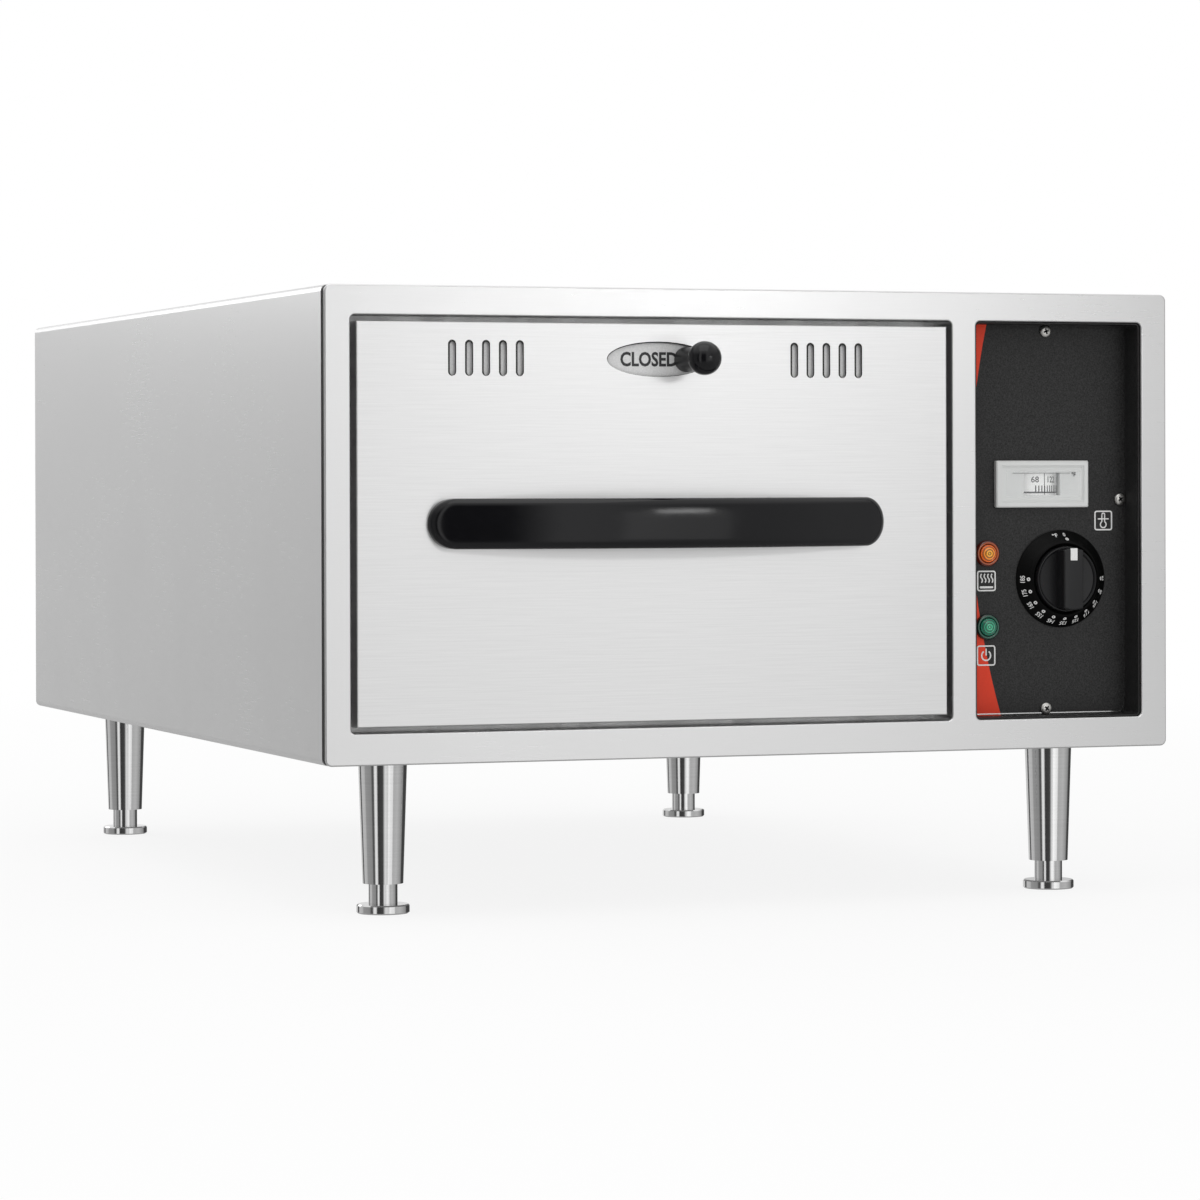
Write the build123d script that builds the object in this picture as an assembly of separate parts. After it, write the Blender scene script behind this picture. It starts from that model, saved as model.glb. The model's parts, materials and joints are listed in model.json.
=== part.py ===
from build123d import *
from math import sqrt
import os

# Warming drawer for one full-size food pan, on four adjustable legs.
# Millimetres. +X is to the right as you face it, -Y is the front, +Z is up.
# The origin is on the floor, at the centre of the outline seen from above.

# Food pan that the drawer is built round
pan_rim_width = 325.0
pan_rim_length = 530.0
pan_depth = 150.0
pan_sheet = 0.8
pan_rim = 12.0
pan_rim_lip = 3.0
pan_corner = 22.0
pan_taper = 3.0

# Pan carrier: the frame behind the drawer front
carrier_sheet = 1.2
carrier_height = 44.0
carrier_rim_gap = 5.6
carrier_shelf_drop = 8.0
carrier_shelf_gap = 2.5

# Telescopic slides
slide_thickness = 12.7
slide_half_height = 22.5
slide_sheet = 1.2
slide_fit = 0.4
slide_outer_flange = 8.3
slide_middle_flange = 8.0
slide_inner_flange = 7.5
slide_length = 550.0
slide_setback = 8.0

# Body
left_stile = 15.5
middle_stile = 16.0
right_stile = 17.0
top_rail = 17.5
bottom_rail = 18.5
body_depth = 750.0
body_corner = 4.0
casing_sheet = 1.0
casing_flange = 20.0
frame_sheet = 1.2
frame_round = 0.9
outer_return = 16.0
drawer_return = 24.0
opening_corner = 3.0
seal_width = 6.0
seal_inset = 0.5
fit = 0.3
running_fit = 0.06
screw_fit = 0.2

# Chamber
gasket_land = 8.0
liner_sheet = 1.0
space_under_pan = 40.0
space_over_pan = 36.0
rear_space = 34.0
insulation_gap = 2.0

# Base pan
base_sheet = 1.2
base_flange = 12.0

# Rear panel
rear_sheet = 1.0
rear_recess = 3.0
rear_flange = 12.0
louvre_count = 7
louvre_pitch = 16.0
louvre_length = 74.0
louvre_reach = 5.0
louvre_columns = 2
louvre_column_pitch = 150.0

# Legs and feet
leg_height = 91.0
leg_inset_side = 52.4
leg_inset_end = 58.6
leg_top_radius = 14.6
leg_bottom_radius = 12.1
leg_bottom_z = 17.7
leg_bore_depth = 52.0
stem_radius = 8.65
stem_engaged = 38.0
foot_radius = 15.8
foot_height = 5.5
foot_chamfer = 0.8
stud_radius = 5.0
stud_length = 14.0
nut_flats_radius = 8.5
nut_height = 8.0

# Drawer front
front_gap = 3.5
skin_sheet = 1.0
skin_round = 0.8
front_depth = 20.0
inner_panel_sheet = 1.0
gasket_width = 4.0
gasket_inset = 0.5
gasket_squeeze_gap = 0.3
pad_thickness = 14.0
pad_margin = 4.0

# Vent
vent_drop = 21.0
slot_length = 21.0
slot_width = 5.0
slot_pitch = 10.4
slot_count = 5
slot_group_offset = 107.5
vent_travel_pitches = 3.5
vent_sheet = 1.0
vent_plate_gap = 1.6
vent_plate_margin = 4.5
vent_plate_overlap = 9.0
guide_width = 4.0
guide_hold = 3.0
guide_sheet = 1.2
guide_end_gap = 3.0
window_half_width = 32.5
window_half_height = 10.4
vent_stem_radius = 5.0
vent_rivet_radius = 7.0
vent_rivet_height = 1.5
ball_radius = 10.0
ball_reach = 28.0
ball_bore_depth = 7.0

# Handle
handle_length = 287.0
handle_height = 29.4
handle_reach = 40.0
handle_thickness = 12.0
handle_side = 7.0
handle_foot = 34.0
handle_trim = 6.0
handle_round = 4.0
handle_screw_radius = 2.5
handle_screw_length = 9.0
handle_screw_head_radius = 4.5
handle_screw_head = 3.0

# Control panel
panel_opening_width = 111.5
panel_recess = 20.0
panel_sheet = 0.8
panel_wall_setback = 2.0
panel_lip = 8.5
panel_screw_radius = 2.0
panel_screw_head_radius = 3.7
panel_screw_head = 2.4
panel_screw_length = 8.0
panel_screw_inset = 5.0
panel_side_screw_rise = 12.5

# Thermometer
thermometer_from_left = 53.3
thermometer_from_bottom = 143.1
bezel_width = 62.5
bezel_height = 28.7
bezel_out = 3.6
bezel_border = 6.0
bezel_step = 1.2
bezel_corner = 1.2
window_width = 22.4
window_height = 13.8
lens_thickness = 0.8
thermometer_case_width = 54.0
thermometer_case_height = 23.0
thermometer_case_depth = 40.0
thermometer_wall = 1.2
drum_radius = 16.0
drum_height = 15.0
drum_setback = 1.5
drum_pin_radius = 1.5

# Lamps
lamp_from_left = 16.2
amber_lamp_from_bottom = 100.6
green_lamp_from_bottom = 55.6
lamp_radius = 8.0
lamp_flange = 1.0
lamp_dome = 4.6
lamp_body_radius = 6.0
lamp_body_length = 26.0
lamp_blade_width = 4.8
lamp_blade_length = 8.0
lamp_blade_offset = 2.6
blade_sheet = 0.8

# Thermostat and its knob
dial_from_left = 65.9
dial_from_bottom = 84.7
dial_plate_radius = 30.0
dial_plate_sheet = 1.0
thermostat_width = 44.0
thermostat_depth = 34.0
thermostat_corner = 4.0
bush_radius = 5.0
spindle_radius = 3.0
spindle_behind_panel = 12.0
knob_radius = 22.0
knob_skirt = 6.6
knob_clearance = 0.4
knob_rim = 2.0
knob_dish = 1.4
knob_reach = 19.6
grip_width = 12.0
grip_round = 1.2
knob_bore_depth = 11.0
pointer_width = 4.6
pointer_length = 7.4
pointer_thickness = 0.6
pointer_inset = 0.8

# Thermostat bulb
bulb_radius = 3.5
bulb_length = 90.0
bulb_height = 30.0
bulb_from_front = 240.0
capillary_radius = 1.0
capillary_bend = 12.0
capillary_lead = 40.0
capillary_hole_radius = 6.0

# Heating element
element_radius = 4.0
element_height = 14.0
element_bend = 28.0
element_pitch = 80.0
element_front_gap = 70.0
element_rear_gap = 130.0
element_tail = 16.0
bracket_sheet = 1.2
bracket_over = 6.0
bracket_foot = 12.0
bracket_count = 3
bracket_overhang = 16.0

# Control bay: divider, terminal block, gland
bay_wall_offset = 16.0
bay_wall_flange = 10.0
terminal_width = 26.0
terminal_length = 60.0
terminal_height = 18.0
terminal_poles = 3
terminal_well_depth = 10.0
terminal_from_back = 170.0
gland_height = 48.0
gland_radius = 12.0
gland_bore_radius = 4.5
gland_thread_radius = 8.0
gland_collar = 5.0
gland_cap = 11.0
gland_inside = 14.0
gland_nut_height = 5.0

# Widths that follow
carrier_width = pan_rim_width + 2 * (carrier_rim_gap + carrier_sheet)
chamber_width = carrier_width + 2 * slide_thickness
drawer_opening_width = chamber_width + 2 * gasket_land
body_width = left_stile + drawer_opening_width + middle_stile + panel_opening_width + right_stile
body_left = -body_width / 2
body_right = body_width / 2

# Heights that follow
chamber_height = space_under_pan + pan_depth + space_over_pan
opening_height = chamber_height + 2 * gasket_land
body_height = bottom_rail + opening_height + top_rail
base_z = leg_height
top_z = base_z + body_height
opening_bottom = base_z + bottom_rail
opening_top = opening_bottom + opening_height

# Depths that follow, with the outline centred on the origin
gland_out = gland_collar + gland_cap - rear_recess
front_y = (handle_reach - body_depth - gland_out) / 2
back_y = front_y + body_depth
rear_panel_y = back_y - rear_recess - rear_sheet
liner_y = front_y + drawer_return
chamber_back = rear_panel_y - rear_space
panel_y = front_y + panel_recess
frame_lip_y = panel_y + panel_sheet
skin_back = front_y + skin_sheet
inner_panel_y = front_y + front_depth
drawer_back_y = inner_panel_y + inner_panel_sheet
slide_y = liner_y + slide_setback

into_body = (0, 1, 0)
upward = (0, 0, 1)
touch = 0.01


# Helpers

def facing(y):
    """Upright plane at y, seen from the front: its X is +X and its Y is +Z."""
    return Plane(origin=(0, y, 0), x_dir=(1, 0, 0), z_dir=(0, -1, 0))


class Area:
    """Rectangle with rounded corners, upright (x, z) or lying (x, y)."""

    def __init__(self, left, right, low, high, radius=0.0):
        self.left = left
        self.right = right
        self.low = low
        self.high = high
        self.radius = radius

    def grow(self, by):
        radius = max(self.radius + by, 0.0)
        return Area(self.left - by, self.right + by, self.low - by, self.high + by, radius)

    def middle(self):
        return (self.left + self.right) / 2, (self.low + self.high) / 2

    def sketch(self):
        width = self.right - self.left
        height = self.high - self.low
        shape = RectangleRounded(width, height, self.radius) if self.radius else Rectangle(width, height)
        return Pos(*self.middle()) * shape

    def plate(self, y, depth):
        """Upright plate from y towards the back."""
        return extrude(facing(y) * self.sketch(), amount=depth, dir=into_body)

    def hoop(self, wall, y, depth):
        """Upright hoop whose outside is this area."""
        return self.plate(y, depth) - self.grow(-wall).plate(y, depth)

    def slab(self, z, height):
        """Lying plate from z upwards."""
        return extrude(Pos(0, 0, z) * self.sketch(), amount=height, dir=upward)

    def kerb(self, wall, z, height):
        """Lying hoop whose outside is this area."""
        return self.slab(z, height) - self.grow(-wall).slab(z, height)


def centred(x, z, width, height, radius=0.0):
    return Area(x - width / 2, x + width / 2, z - height / 2, z + height / 2, radius)


def rod(x, z, radius, y, depth):
    """Cylinder from y towards the back."""
    return extrude(facing(y) * (Pos(x, z) * Circle(radius)), amount=depth, dir=into_body)


def post(x, y, radius, z, height):
    """Cylinder from z upwards."""
    return extrude(Pos(x, y, z) * Circle(radius), amount=height, dir=upward)


def cross_rod(x, y, z, radius, length):
    """Cylinder from x to the right."""
    section = Plane(origin=(x, y, z), x_dir=(0, 1, 0), z_dir=(1, 0, 0)) * Circle(radius)
    return extrude(section, amount=length, dir=(1, 0, 0))


def block(left, right, front, back, low, high):
    return Area(left, right, low, high).plate(front, back - front)


def edges_at(part, axis, place):
    return part.edges().filter_by_position(axis, place - touch, place + touch)


def turned_upright(profile, x, y):
    """Turn a profile of (radius, height) points about an upright line."""
    return Pos(x, y, 0) * revolve(Plane.XZ * profile, Axis.Z)


def closed_profile(*points):
    return make_face(Polyline(*points, close=True))


def group(solids):
    return Compound(children=list(solids))


# Shared areas

body_area = Area(body_left, body_right, base_z, top_z, body_corner)
drawer_opening = Area(body_left + left_stile, body_left + left_stile + drawer_opening_width,
                      opening_bottom, opening_top, opening_corner)
panel_opening = Area(drawer_opening.right + middle_stile, body_right - right_stile,
                     opening_bottom, opening_top, opening_corner)
chamber_area = Area(drawer_opening.left + gasket_land, drawer_opening.right - gasket_land,
                    opening_bottom + gasket_land, opening_top - gasket_land)
front_area = drawer_opening.grow(-front_gap)
inside_casing = body_area.grow(-casing_sheet - fit)
drawer_x, drawer_z = front_area.middle()
vent_z = front_area.high - vent_drop
carrier_area = Area(chamber_area.left + slide_thickness, chamber_area.right - slide_thickness,
                    drawer_back_y, drawer_back_y + pan_rim_length + 2 * (carrier_rim_gap + carrier_sheet))
pan_rim_z = chamber_area.high - space_over_pan
carrier_shelf_z = pan_rim_z - pan_rim_lip - carrier_sheet
carrier_top = carrier_shelf_z + carrier_shelf_drop
carrier_bottom = carrier_top - carrier_height
slide_z = (carrier_bottom + carrier_top) / 2
element_xs = [drawer_x + (i - 1.5) * element_pitch for i in range(4)]
element_z = chamber_area.low + element_height
element_front = liner_y + element_front_gap
element_middle = chamber_back - element_rear_gap
dial_x = panel_opening.left + dial_from_left
dial_z = panel_opening.low + dial_from_bottom
lamp_x = panel_opening.left + lamp_from_left
lamp_zs = {"amber": panel_opening.low + amber_lamp_from_bottom, "green": panel_opening.low + green_lamp_from_bottom}
thermometer_x = panel_opening.left + thermometer_from_left
thermometer_z = panel_opening.low + thermometer_from_bottom
thermometer_case_area = centred(thermometer_x, thermometer_z, thermometer_case_width, thermometer_case_height)
drum_y = frame_lip_y + drum_setback + drum_radius
bay_wall_x = chamber_area.right + liner_sheet + bay_wall_offset
gland_x = (bay_wall_x + body_right) / 2
gland_z = base_z + gland_height
vent_travel = vent_travel_pitches * slot_pitch
vent_stem_x = drawer_x + vent_travel / 2
vent_plate_y = skin_back + vent_plate_gap
leg_points = {
    "front_left": (body_left + leg_inset_side, front_y + leg_inset_end),
    "front_right": (body_right - leg_inset_side, front_y + leg_inset_end),
    "rear_left": (body_left + leg_inset_side, back_y - leg_inset_end),
    "rear_right": (body_right - leg_inset_side, back_y - leg_inset_end),
}
panel_middle_x, panel_middle_z = panel_opening.middle()
panel_screw_points = [
    (panel_middle_x, panel_opening.high - panel_screw_inset),
    (panel_middle_x, panel_opening.low + panel_screw_inset),
    (panel_opening.left + panel_screw_inset, panel_middle_z + panel_side_screw_rise),
    (panel_opening.right - panel_screw_inset, panel_middle_z + panel_side_screw_rise),
]
handle_screw_xs = [drawer_x + side * (handle_length - handle_foot) / 2 for side in (-1, 1)]


# Cabinet shell

def outer_casing():
    start = front_y + frame_sheet + seal_width
    shell = body_area.hoop(casing_sheet, start, back_y - start)
    gap = Area(body_left + casing_flange, body_right - casing_flange, base_z - touch, base_z + casing_sheet)
    return shell - gap.plate(start, back_y - start)


def casing_seal():
    strip = casing_sheet + fit - seal_inset
    return body_area.grow(-seal_inset).hoop(strip, front_y + frame_sheet, seal_width)


def front_frame():
    frame = body_area.plate(front_y, frame_sheet)
    frame += inside_casing.hoop(frame_sheet, front_y, outer_return)
    frame += drawer_opening.grow(frame_sheet).plate(front_y, drawer_return)
    frame -= drawer_opening.plate(front_y, drawer_return)
    frame += panel_opening.grow(frame_sheet).plate(front_y, panel_recess + panel_sheet + frame_sheet)
    frame -= panel_opening.plate(front_y, panel_recess + panel_sheet)
    frame -= panel_opening.grow(-panel_lip).plate(frame_lip_y, frame_sheet)
    for x, z in panel_screw_points:
        frame -= rod(x, z, panel_screw_radius + screw_fit, frame_lip_y, frame_sheet)
    return fillet(edges_at(frame, Axis.Y, front_y), frame_round)


def louvre_hood(x, z):
    """Pressed hood, closed at its ends and open below."""
    outside = Plane(origin=(x, rear_panel_y + rear_sheet, z), x_dir=(0, 1, 0), z_dir=(1, 0, 0))
    quarter = Pos(louvre_reach / 2, louvre_reach / 2) * Rectangle(louvre_reach, louvre_reach)
    hood = extrude(outside * (Circle(louvre_reach) & quarter), louvre_length / 2, both=True)
    inner_half = louvre_length / 2 - rear_sheet
    hollow = extrude(outside * (Circle(louvre_reach - rear_sheet) & quarter), inner_half, both=True)
    return hood - hollow


def rear_panel():
    panel = inside_casing.plate(rear_panel_y, rear_sheet)
    panel += inside_casing.hoop(rear_sheet, rear_panel_y - rear_flange, rear_flange)
    panel -= rod(gland_x, gland_z, gland_thread_radius + fit, rear_panel_y, rear_sheet)
    middle_x, middle_z = drawer_opening.middle()
    for column in range(louvre_columns):
        x = middle_x + (column - (louvre_columns - 1) / 2) * louvre_column_pitch
        for row in range(louvre_count):
            z = middle_z + (row - (louvre_count - 1) / 2) * louvre_pitch
            gap = louvre_reach - rear_sheet
            slot = centred(x, z + gap / 2, louvre_length - 2 * rear_sheet, gap)
            panel -= slot.plate(rear_panel_y, rear_sheet)
            panel += louvre_hood(x, z)
    return panel


def base_pan():
    floor_z = base_z + casing_sheet
    area = Area(body_left + body_corner, body_right - body_corner,
                front_y + outer_return + fit, rear_panel_y - rear_flange - fit)
    pan = area.slab(floor_z, base_sheet) + area.kerb(base_sheet, floor_z, base_flange)
    for x, y in leg_points.values():
        pan -= post(x, y, stud_radius + screw_fit, floor_z, base_sheet)
    return pan


def chamber_liner():
    depth = chamber_back - liner_y
    liner = chamber_area.grow(liner_sheet).plate(liner_y, depth)
    liner += drawer_opening.grow(frame_sheet).plate(liner_y, liner_sheet)
    liner -= chamber_area.plate(liner_y, depth - liner_sheet)
    for x in (element_xs[0], element_xs[-1]):
        liner -= rod(x, element_z, element_radius + fit, chamber_back - liner_sheet, liner_sheet)
    hole_y, hole_z = capillary_points()[1][1:]
    liner -= cross_rod(chamber_area.right, hole_y, hole_z, capillary_hole_radius, liner_sheet)
    return liner


def insulation():
    """Five separate batts, each lying against the liner."""
    liner = chamber_area.grow(liner_sheet)
    start = liner_y + liner_sheet + insulation_gap
    left_side = body_left + casing_sheet + insulation_gap
    right_side = bay_wall_x - insulation_gap
    top = top_z - casing_sheet - insulation_gap
    bottom = base_z + casing_sheet + base_flange + insulation_gap
    hole_y, hole_z = capillary_points()[1][1:]
    over = block(left_side, right_side, start, chamber_back, liner.high + fit, top)
    under = block(liner.left, liner.right, start, chamber_back, bottom, liner.low - fit)
    left = block(left_side, liner.left - fit, start, chamber_back, liner.low, liner.high)
    right = block(liner.right + fit, right_side, start, chamber_back, liner.low, liner.high)
    right -= cross_rod(liner.right, hole_y, hole_z, capillary_hole_radius, bay_wall_offset)
    rear_low = liner.low + element_height + element_radius + insulation_gap
    rear_end = rear_panel_y - rear_flange - insulation_gap
    rear = block(liner.left, liner.right, chamber_back + fit, rear_end, rear_low, liner.high)
    return group([over, under, left, right, rear])


def control_bay_wall():
    """Folded sheet between the warm chamber and the controls."""
    low = base_z + casing_sheet + base_sheet
    high = top_z - casing_sheet - fit
    start = liner_y + liner_sheet + insulation_gap
    end = rear_panel_y - rear_flange - base_sheet - 2 * fit
    wall = block(bay_wall_x, bay_wall_x + base_sheet, start, end, low, high)
    wall += block(bay_wall_x, bay_wall_x + bay_wall_flange, start, end, low, low + base_sheet)
    wall += block(bay_wall_x, bay_wall_x + bay_wall_flange, start, end, high - base_sheet, high)
    hole_y, hole_z = capillary_points()[1][1:]
    return wall - cross_rod(bay_wall_x, hole_y, hole_z, capillary_hole_radius, base_sheet)


# Legs and feet

def leg(x, y):
    top = base_z + casing_sheet
    bore = stem_radius + running_fit
    bore_top = leg_bottom_z + leg_bore_depth
    profile = closed_profile((bore, leg_bottom_z), (leg_bottom_radius, leg_bottom_z), (leg_top_radius, top),
                             (stud_radius, top), (stud_radius, top + stud_length), (0, top + stud_length),
                             (0, bore_top), (bore, bore_top))
    return turned_upright(profile, x, y)


def foot(x, y):
    rim = foot_radius - foot_chamfer
    stem_top = leg_bottom_z + stem_engaged
    profile = closed_profile((0, 0), (rim, 0), (foot_radius, foot_chamfer),
                             (foot_radius, foot_height - foot_chamfer), (rim, foot_height),
                             (stem_radius, foot_height), (stem_radius, stem_top), (0, stem_top))
    return turned_upright(profile, x, y)


def leg_nuts():
    z = base_z + casing_sheet + base_sheet
    nuts = []
    for x, y in leg_points.values():
        hexagon = RegularPolygon(nut_flats_radius, 6, major_radius=False) - Circle(stud_radius + running_fit)
        nuts.append(extrude(Pos(x, y, z) * hexagon, amount=nut_height, dir=upward))
    return group(nuts)


# Heating

def heating_element():
    """Tubular heater, four runs across the chamber floor, both ends out at the back."""
    x1, x2, x3, x4 = element_xs
    end = chamber_back + element_tail
    points = [(x1, end), (x1, element_front), (x2, element_front), (x2, element_middle),
              (x3, element_middle), (x3, element_front), (x4, element_front), (x4, end)]
    path = FilletPolyline([(x, y, element_z) for x, y in points], radius=element_bend)
    section = Plane(origin=path @ 0, z_dir=path % 0) * Circle(element_radius)
    return sweep(section, path=path)


def element_brackets():
    """Folded strips that hold the heater off the chamber floor."""
    first = element_front + element_bend + bracket_foot
    last = element_middle - element_bend - bracket_foot
    left = element_xs[0] - bracket_overhang
    right = element_xs[-1] + bracket_overhang
    floor_z = chamber_area.low
    top = element_z + bracket_over
    brackets = []
    for i in range(bracket_count):
        y = first + i * (last - first) / (bracket_count - 1)
        bracket = block(left, right, y, y + bracket_sheet, floor_z, top)
        bracket += block(left, right, y, y + bracket_foot, floor_z, floor_z + bracket_sheet)
        for x in element_xs:
            bracket -= rod(x, element_z, element_radius + fit, y, bracket_sheet)
        brackets.append(bracket)
    return group(brackets)


def capillary_points():
    """Bends of the capillary, from the bulb in the chamber to the back of the thermostat."""
    bulb_x = chamber_area.right - bulb_radius - fit
    bulb_z = chamber_area.low + bulb_height
    bulb_front = liner_y + bulb_from_front
    turn_y = bulb_front - capillary_lead
    return [(bulb_x, bulb_front, bulb_z), (bulb_x, turn_y, bulb_z), (dial_x, turn_y, bulb_z),
            (dial_x, turn_y, dial_z), (dial_x, frame_lip_y + thermostat_depth, dial_z)]


def thermostat_bulb():
    points = capillary_points()
    x, y, z = points[0]
    path = FilletPolyline(points, radius=capillary_bend)
    section = Plane(origin=path @ 0, z_dir=path % 0) * Circle(capillary_radius)
    return rod(x, z, bulb_radius, y, bulb_length) + sweep(section, path=path)


# Control panel

def control_panel():
    area = panel_opening.grow(-fit)
    wall_y = front_y + panel_wall_setback
    panel = area.plate(wall_y, frame_lip_y - wall_y)
    panel -= area.grow(-panel_sheet).plate(wall_y, panel_y - wall_y)
    for x, z in panel_screw_points:
        panel -= rod(x, z, panel_screw_radius + screw_fit, panel_y, panel_sheet)
    for z in lamp_zs.values():
        panel -= rod(lamp_x, z, lamp_body_radius + fit, panel_y, panel_sheet)
    panel -= rod(dial_x, dial_z, bush_radius + fit, panel_y, panel_sheet)
    return panel - thermometer_case_area.grow(fit).plate(panel_y, panel_sheet)


def panel_screws():
    screws = []
    for x, z in panel_screw_points:
        head = rod(x, z, panel_screw_head_radius, panel_y - panel_screw_head, panel_screw_head)
        head = fillet(edges_at(head, Axis.Y, panel_y - panel_screw_head), panel_screw_head / 2)
        screws.append(head + rod(x, z, panel_screw_radius, panel_y, panel_screw_length))
    return group(screws)


def thermometer_bezel():
    y = panel_y - bezel_out
    area = centred(thermometer_x, thermometer_z, bezel_width, bezel_height, bezel_corner)
    bezel = fillet(edges_at(area.plate(y, bezel_out), Axis.Y, y), bezel_corner / 2)
    bezel -= area.grow(-bezel_border / 2).plate(y, bezel_step / 2)
    bezel -= area.grow(-bezel_border).plate(y, bezel_step)
    return bezel - centred(thermometer_x, thermometer_z, window_width, window_height).plate(y, bezel_out)


def thermometer_lens():
    area = centred(thermometer_x, thermometer_z, bezel_width, bezel_height).grow(-bezel_border - screw_fit)
    return area.plate(panel_y - bezel_out + bezel_step - lens_thickness, lens_thickness)


def thermometer_case():
    area = thermometer_case_area
    case = area.plate(panel_y, thermometer_case_depth)
    case -= area.grow(-thermometer_wall).plate(panel_y, thermometer_case_depth - thermometer_wall)
    return case - post(thermometer_x, drum_y, drum_pin_radius + running_fit, area.low, thermometer_case_height)


def thermometer_drum():
    low = thermometer_z - drum_height / 2
    drum = post(thermometer_x, drum_y, drum_radius, low, drum_height)
    return drum + post(thermometer_x, drum_y, drum_pin_radius, thermometer_case_area.low, thermometer_case_height)


def lamp_lens(z):
    """Domed lens on a thin flange, seated on the panel."""
    dome_radius = (lamp_radius**2 + lamp_dome**2) / (2 * lamp_dome)
    dome_y = panel_y - lamp_flange - lamp_dome + dome_radius
    dome = Pos(lamp_x, dome_y, z) * Rot(90, 0, 0) * Sphere(dome_radius)
    return dome & rod(lamp_x, z, lamp_radius, panel_y - lamp_flange - lamp_dome, lamp_flange + lamp_dome)


def lamp_bodies():
    bodies = []
    for z in lamp_zs.values():
        body = rod(lamp_x, z, lamp_body_radius, panel_y, lamp_body_length)
        tail = panel_y + lamp_body_length
        for side in (-1, 1):
            blade = centred(lamp_x + side * lamp_blade_offset, z, blade_sheet, lamp_blade_width)
            body += blade.plate(tail, lamp_blade_length)
        bodies.append(body)
    return group(bodies)


def dial_plate():
    plate = rod(dial_x, dial_z, dial_plate_radius, panel_y - dial_plate_sheet, dial_plate_sheet)
    return plate - rod(dial_x, dial_z, bush_radius + fit, panel_y - dial_plate_sheet, dial_plate_sheet)


def thermostat_body():
    area = centred(dial_x, dial_z, thermostat_width, thermostat_width, thermostat_corner)
    body = area.plate(frame_lip_y, thermostat_depth)
    bush_y = panel_y - dial_plate_sheet
    body += rod(dial_x, dial_z, bush_radius, bush_y, frame_lip_y - bush_y)
    return body - rod(dial_x, dial_z, spindle_radius + running_fit, bush_y, panel_recess + spindle_behind_panel)


knob_back = panel_y - dial_plate_sheet - knob_clearance
knob_front = panel_y - knob_reach


def knob():
    """Round skirt with a raised rim and a straight grip bar across it."""
    skirt_front = knob_back - knob_skirt
    skirt = rod(dial_x, dial_z, knob_radius, skirt_front, knob_skirt)
    skirt = fillet(edges_at(skirt, Axis.Y, skirt_front), knob_rim / 3)
    skirt -= rod(dial_x, dial_z, knob_radius - knob_rim, skirt_front, knob_dish)
    inner_circle = rod(dial_x, dial_z, knob_radius - knob_rim / 2, knob_front, knob_back - knob_front)
    bar_area = centred(dial_x, dial_z, grip_width, 2 * knob_radius)
    bar = bar_area.plate(knob_front, knob_back - knob_front) & inner_circle
    bar = fillet(edges_at(bar, Axis.Y, knob_front), grip_round)
    bore = rod(dial_x, dial_z, spindle_radius + running_fit, knob_back - knob_bore_depth, knob_bore_depth)
    return skirt + bar - bore - pointer_area().plate(knob_front, pointer_thickness)


def pointer_area():
    top = dial_z + knob_radius - knob_rim / 2 - grip_round - pointer_inset
    return centred(dial_x, top - pointer_length / 2, pointer_width, pointer_length)


def knob_pointer():
    return pointer_area().plate(knob_front, pointer_thickness)


def thermostat_spindle():
    start = knob_back - knob_bore_depth
    return rod(dial_x, dial_z, spindle_radius, start, frame_lip_y + spindle_behind_panel - start)


# Wiring bay

def terminal_block():
    """Three-pole block with a well over each screw."""
    start = back_y - terminal_from_back
    floor_z = base_z + casing_sheet + base_sheet
    middle = gland_x
    body = block(middle - terminal_width / 2, middle + terminal_width / 2, start, start + terminal_length,
                 floor_z, floor_z + terminal_height)
    pitch = terminal_length / terminal_poles
    for i in range(terminal_poles):
        y = start + (i + 0.5) * pitch
        well = post(middle, y, pitch * 0.3, floor_z + terminal_height - terminal_well_depth, terminal_well_depth)
        body -= well
    return body


def cable_gland():
    """Hexagon collar and domed cap outside, threaded barrel through the rear panel."""
    outside = rear_panel_y + rear_sheet
    hexagon = RegularPolygon(gland_radius, 6, major_radius=False)
    collar = extrude(facing(outside) * (Pos(gland_x, gland_z) * hexagon), amount=gland_collar, dir=into_body)
    cap_y = outside + gland_collar
    cap = rod(gland_x, gland_z, gland_radius, cap_y, gland_cap)
    cap = fillet(edges_at(cap, Axis.Y, cap_y + gland_cap), gland_radius - gland_bore_radius - 2)
    barrel = rod(gland_x, gland_z, gland_thread_radius, outside - gland_inside, gland_inside)
    whole_length = gland_inside + gland_collar + gland_cap
    return collar + cap + barrel - rod(gland_x, gland_z, gland_bore_radius, outside - gland_inside, whole_length)


def gland_nut():
    hexagon = RegularPolygon(gland_radius, 6, major_radius=False) - Circle(gland_thread_radius + running_fit)
    start = rear_panel_y - gland_nut_height
    return extrude(facing(start) * (Pos(gland_x, gland_z) * hexagon), amount=gland_nut_height, dir=into_body)


# Telescopic slides

def channel(side, web_at, flange_to, half_height):
    """Slide member: web at one distance from the chamber wall, flanges reaching to another."""
    wall_x = chamber_area.left if side < 0 else chamber_area.right
    inward = -side
    near, far = sorted((web_at, flange_to))
    xs = sorted((wall_x + inward * near, wall_x + inward * far))
    hollow_near = near + (slide_sheet if web_at == near else -touch)
    hollow_far = far - (slide_sheet if web_at == far else -touch)
    hollow_xs = sorted((wall_x + inward * hollow_near, wall_x + inward * hollow_far))
    outside = Area(*xs, slide_z - half_height, slide_z + half_height)
    hollow = Area(*hollow_xs, slide_z - half_height + slide_sheet, slide_z + half_height - slide_sheet)
    return outside.plate(slide_y, slide_length) - hollow.plate(slide_y, slide_length)


middle_half_height = slide_half_height - slide_sheet - slide_fit
inner_half_height = middle_half_height - slide_sheet - slide_fit


def slide_outer(side):
    return channel(side, 0, slide_sheet + slide_outer_flange, slide_half_height)


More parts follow.
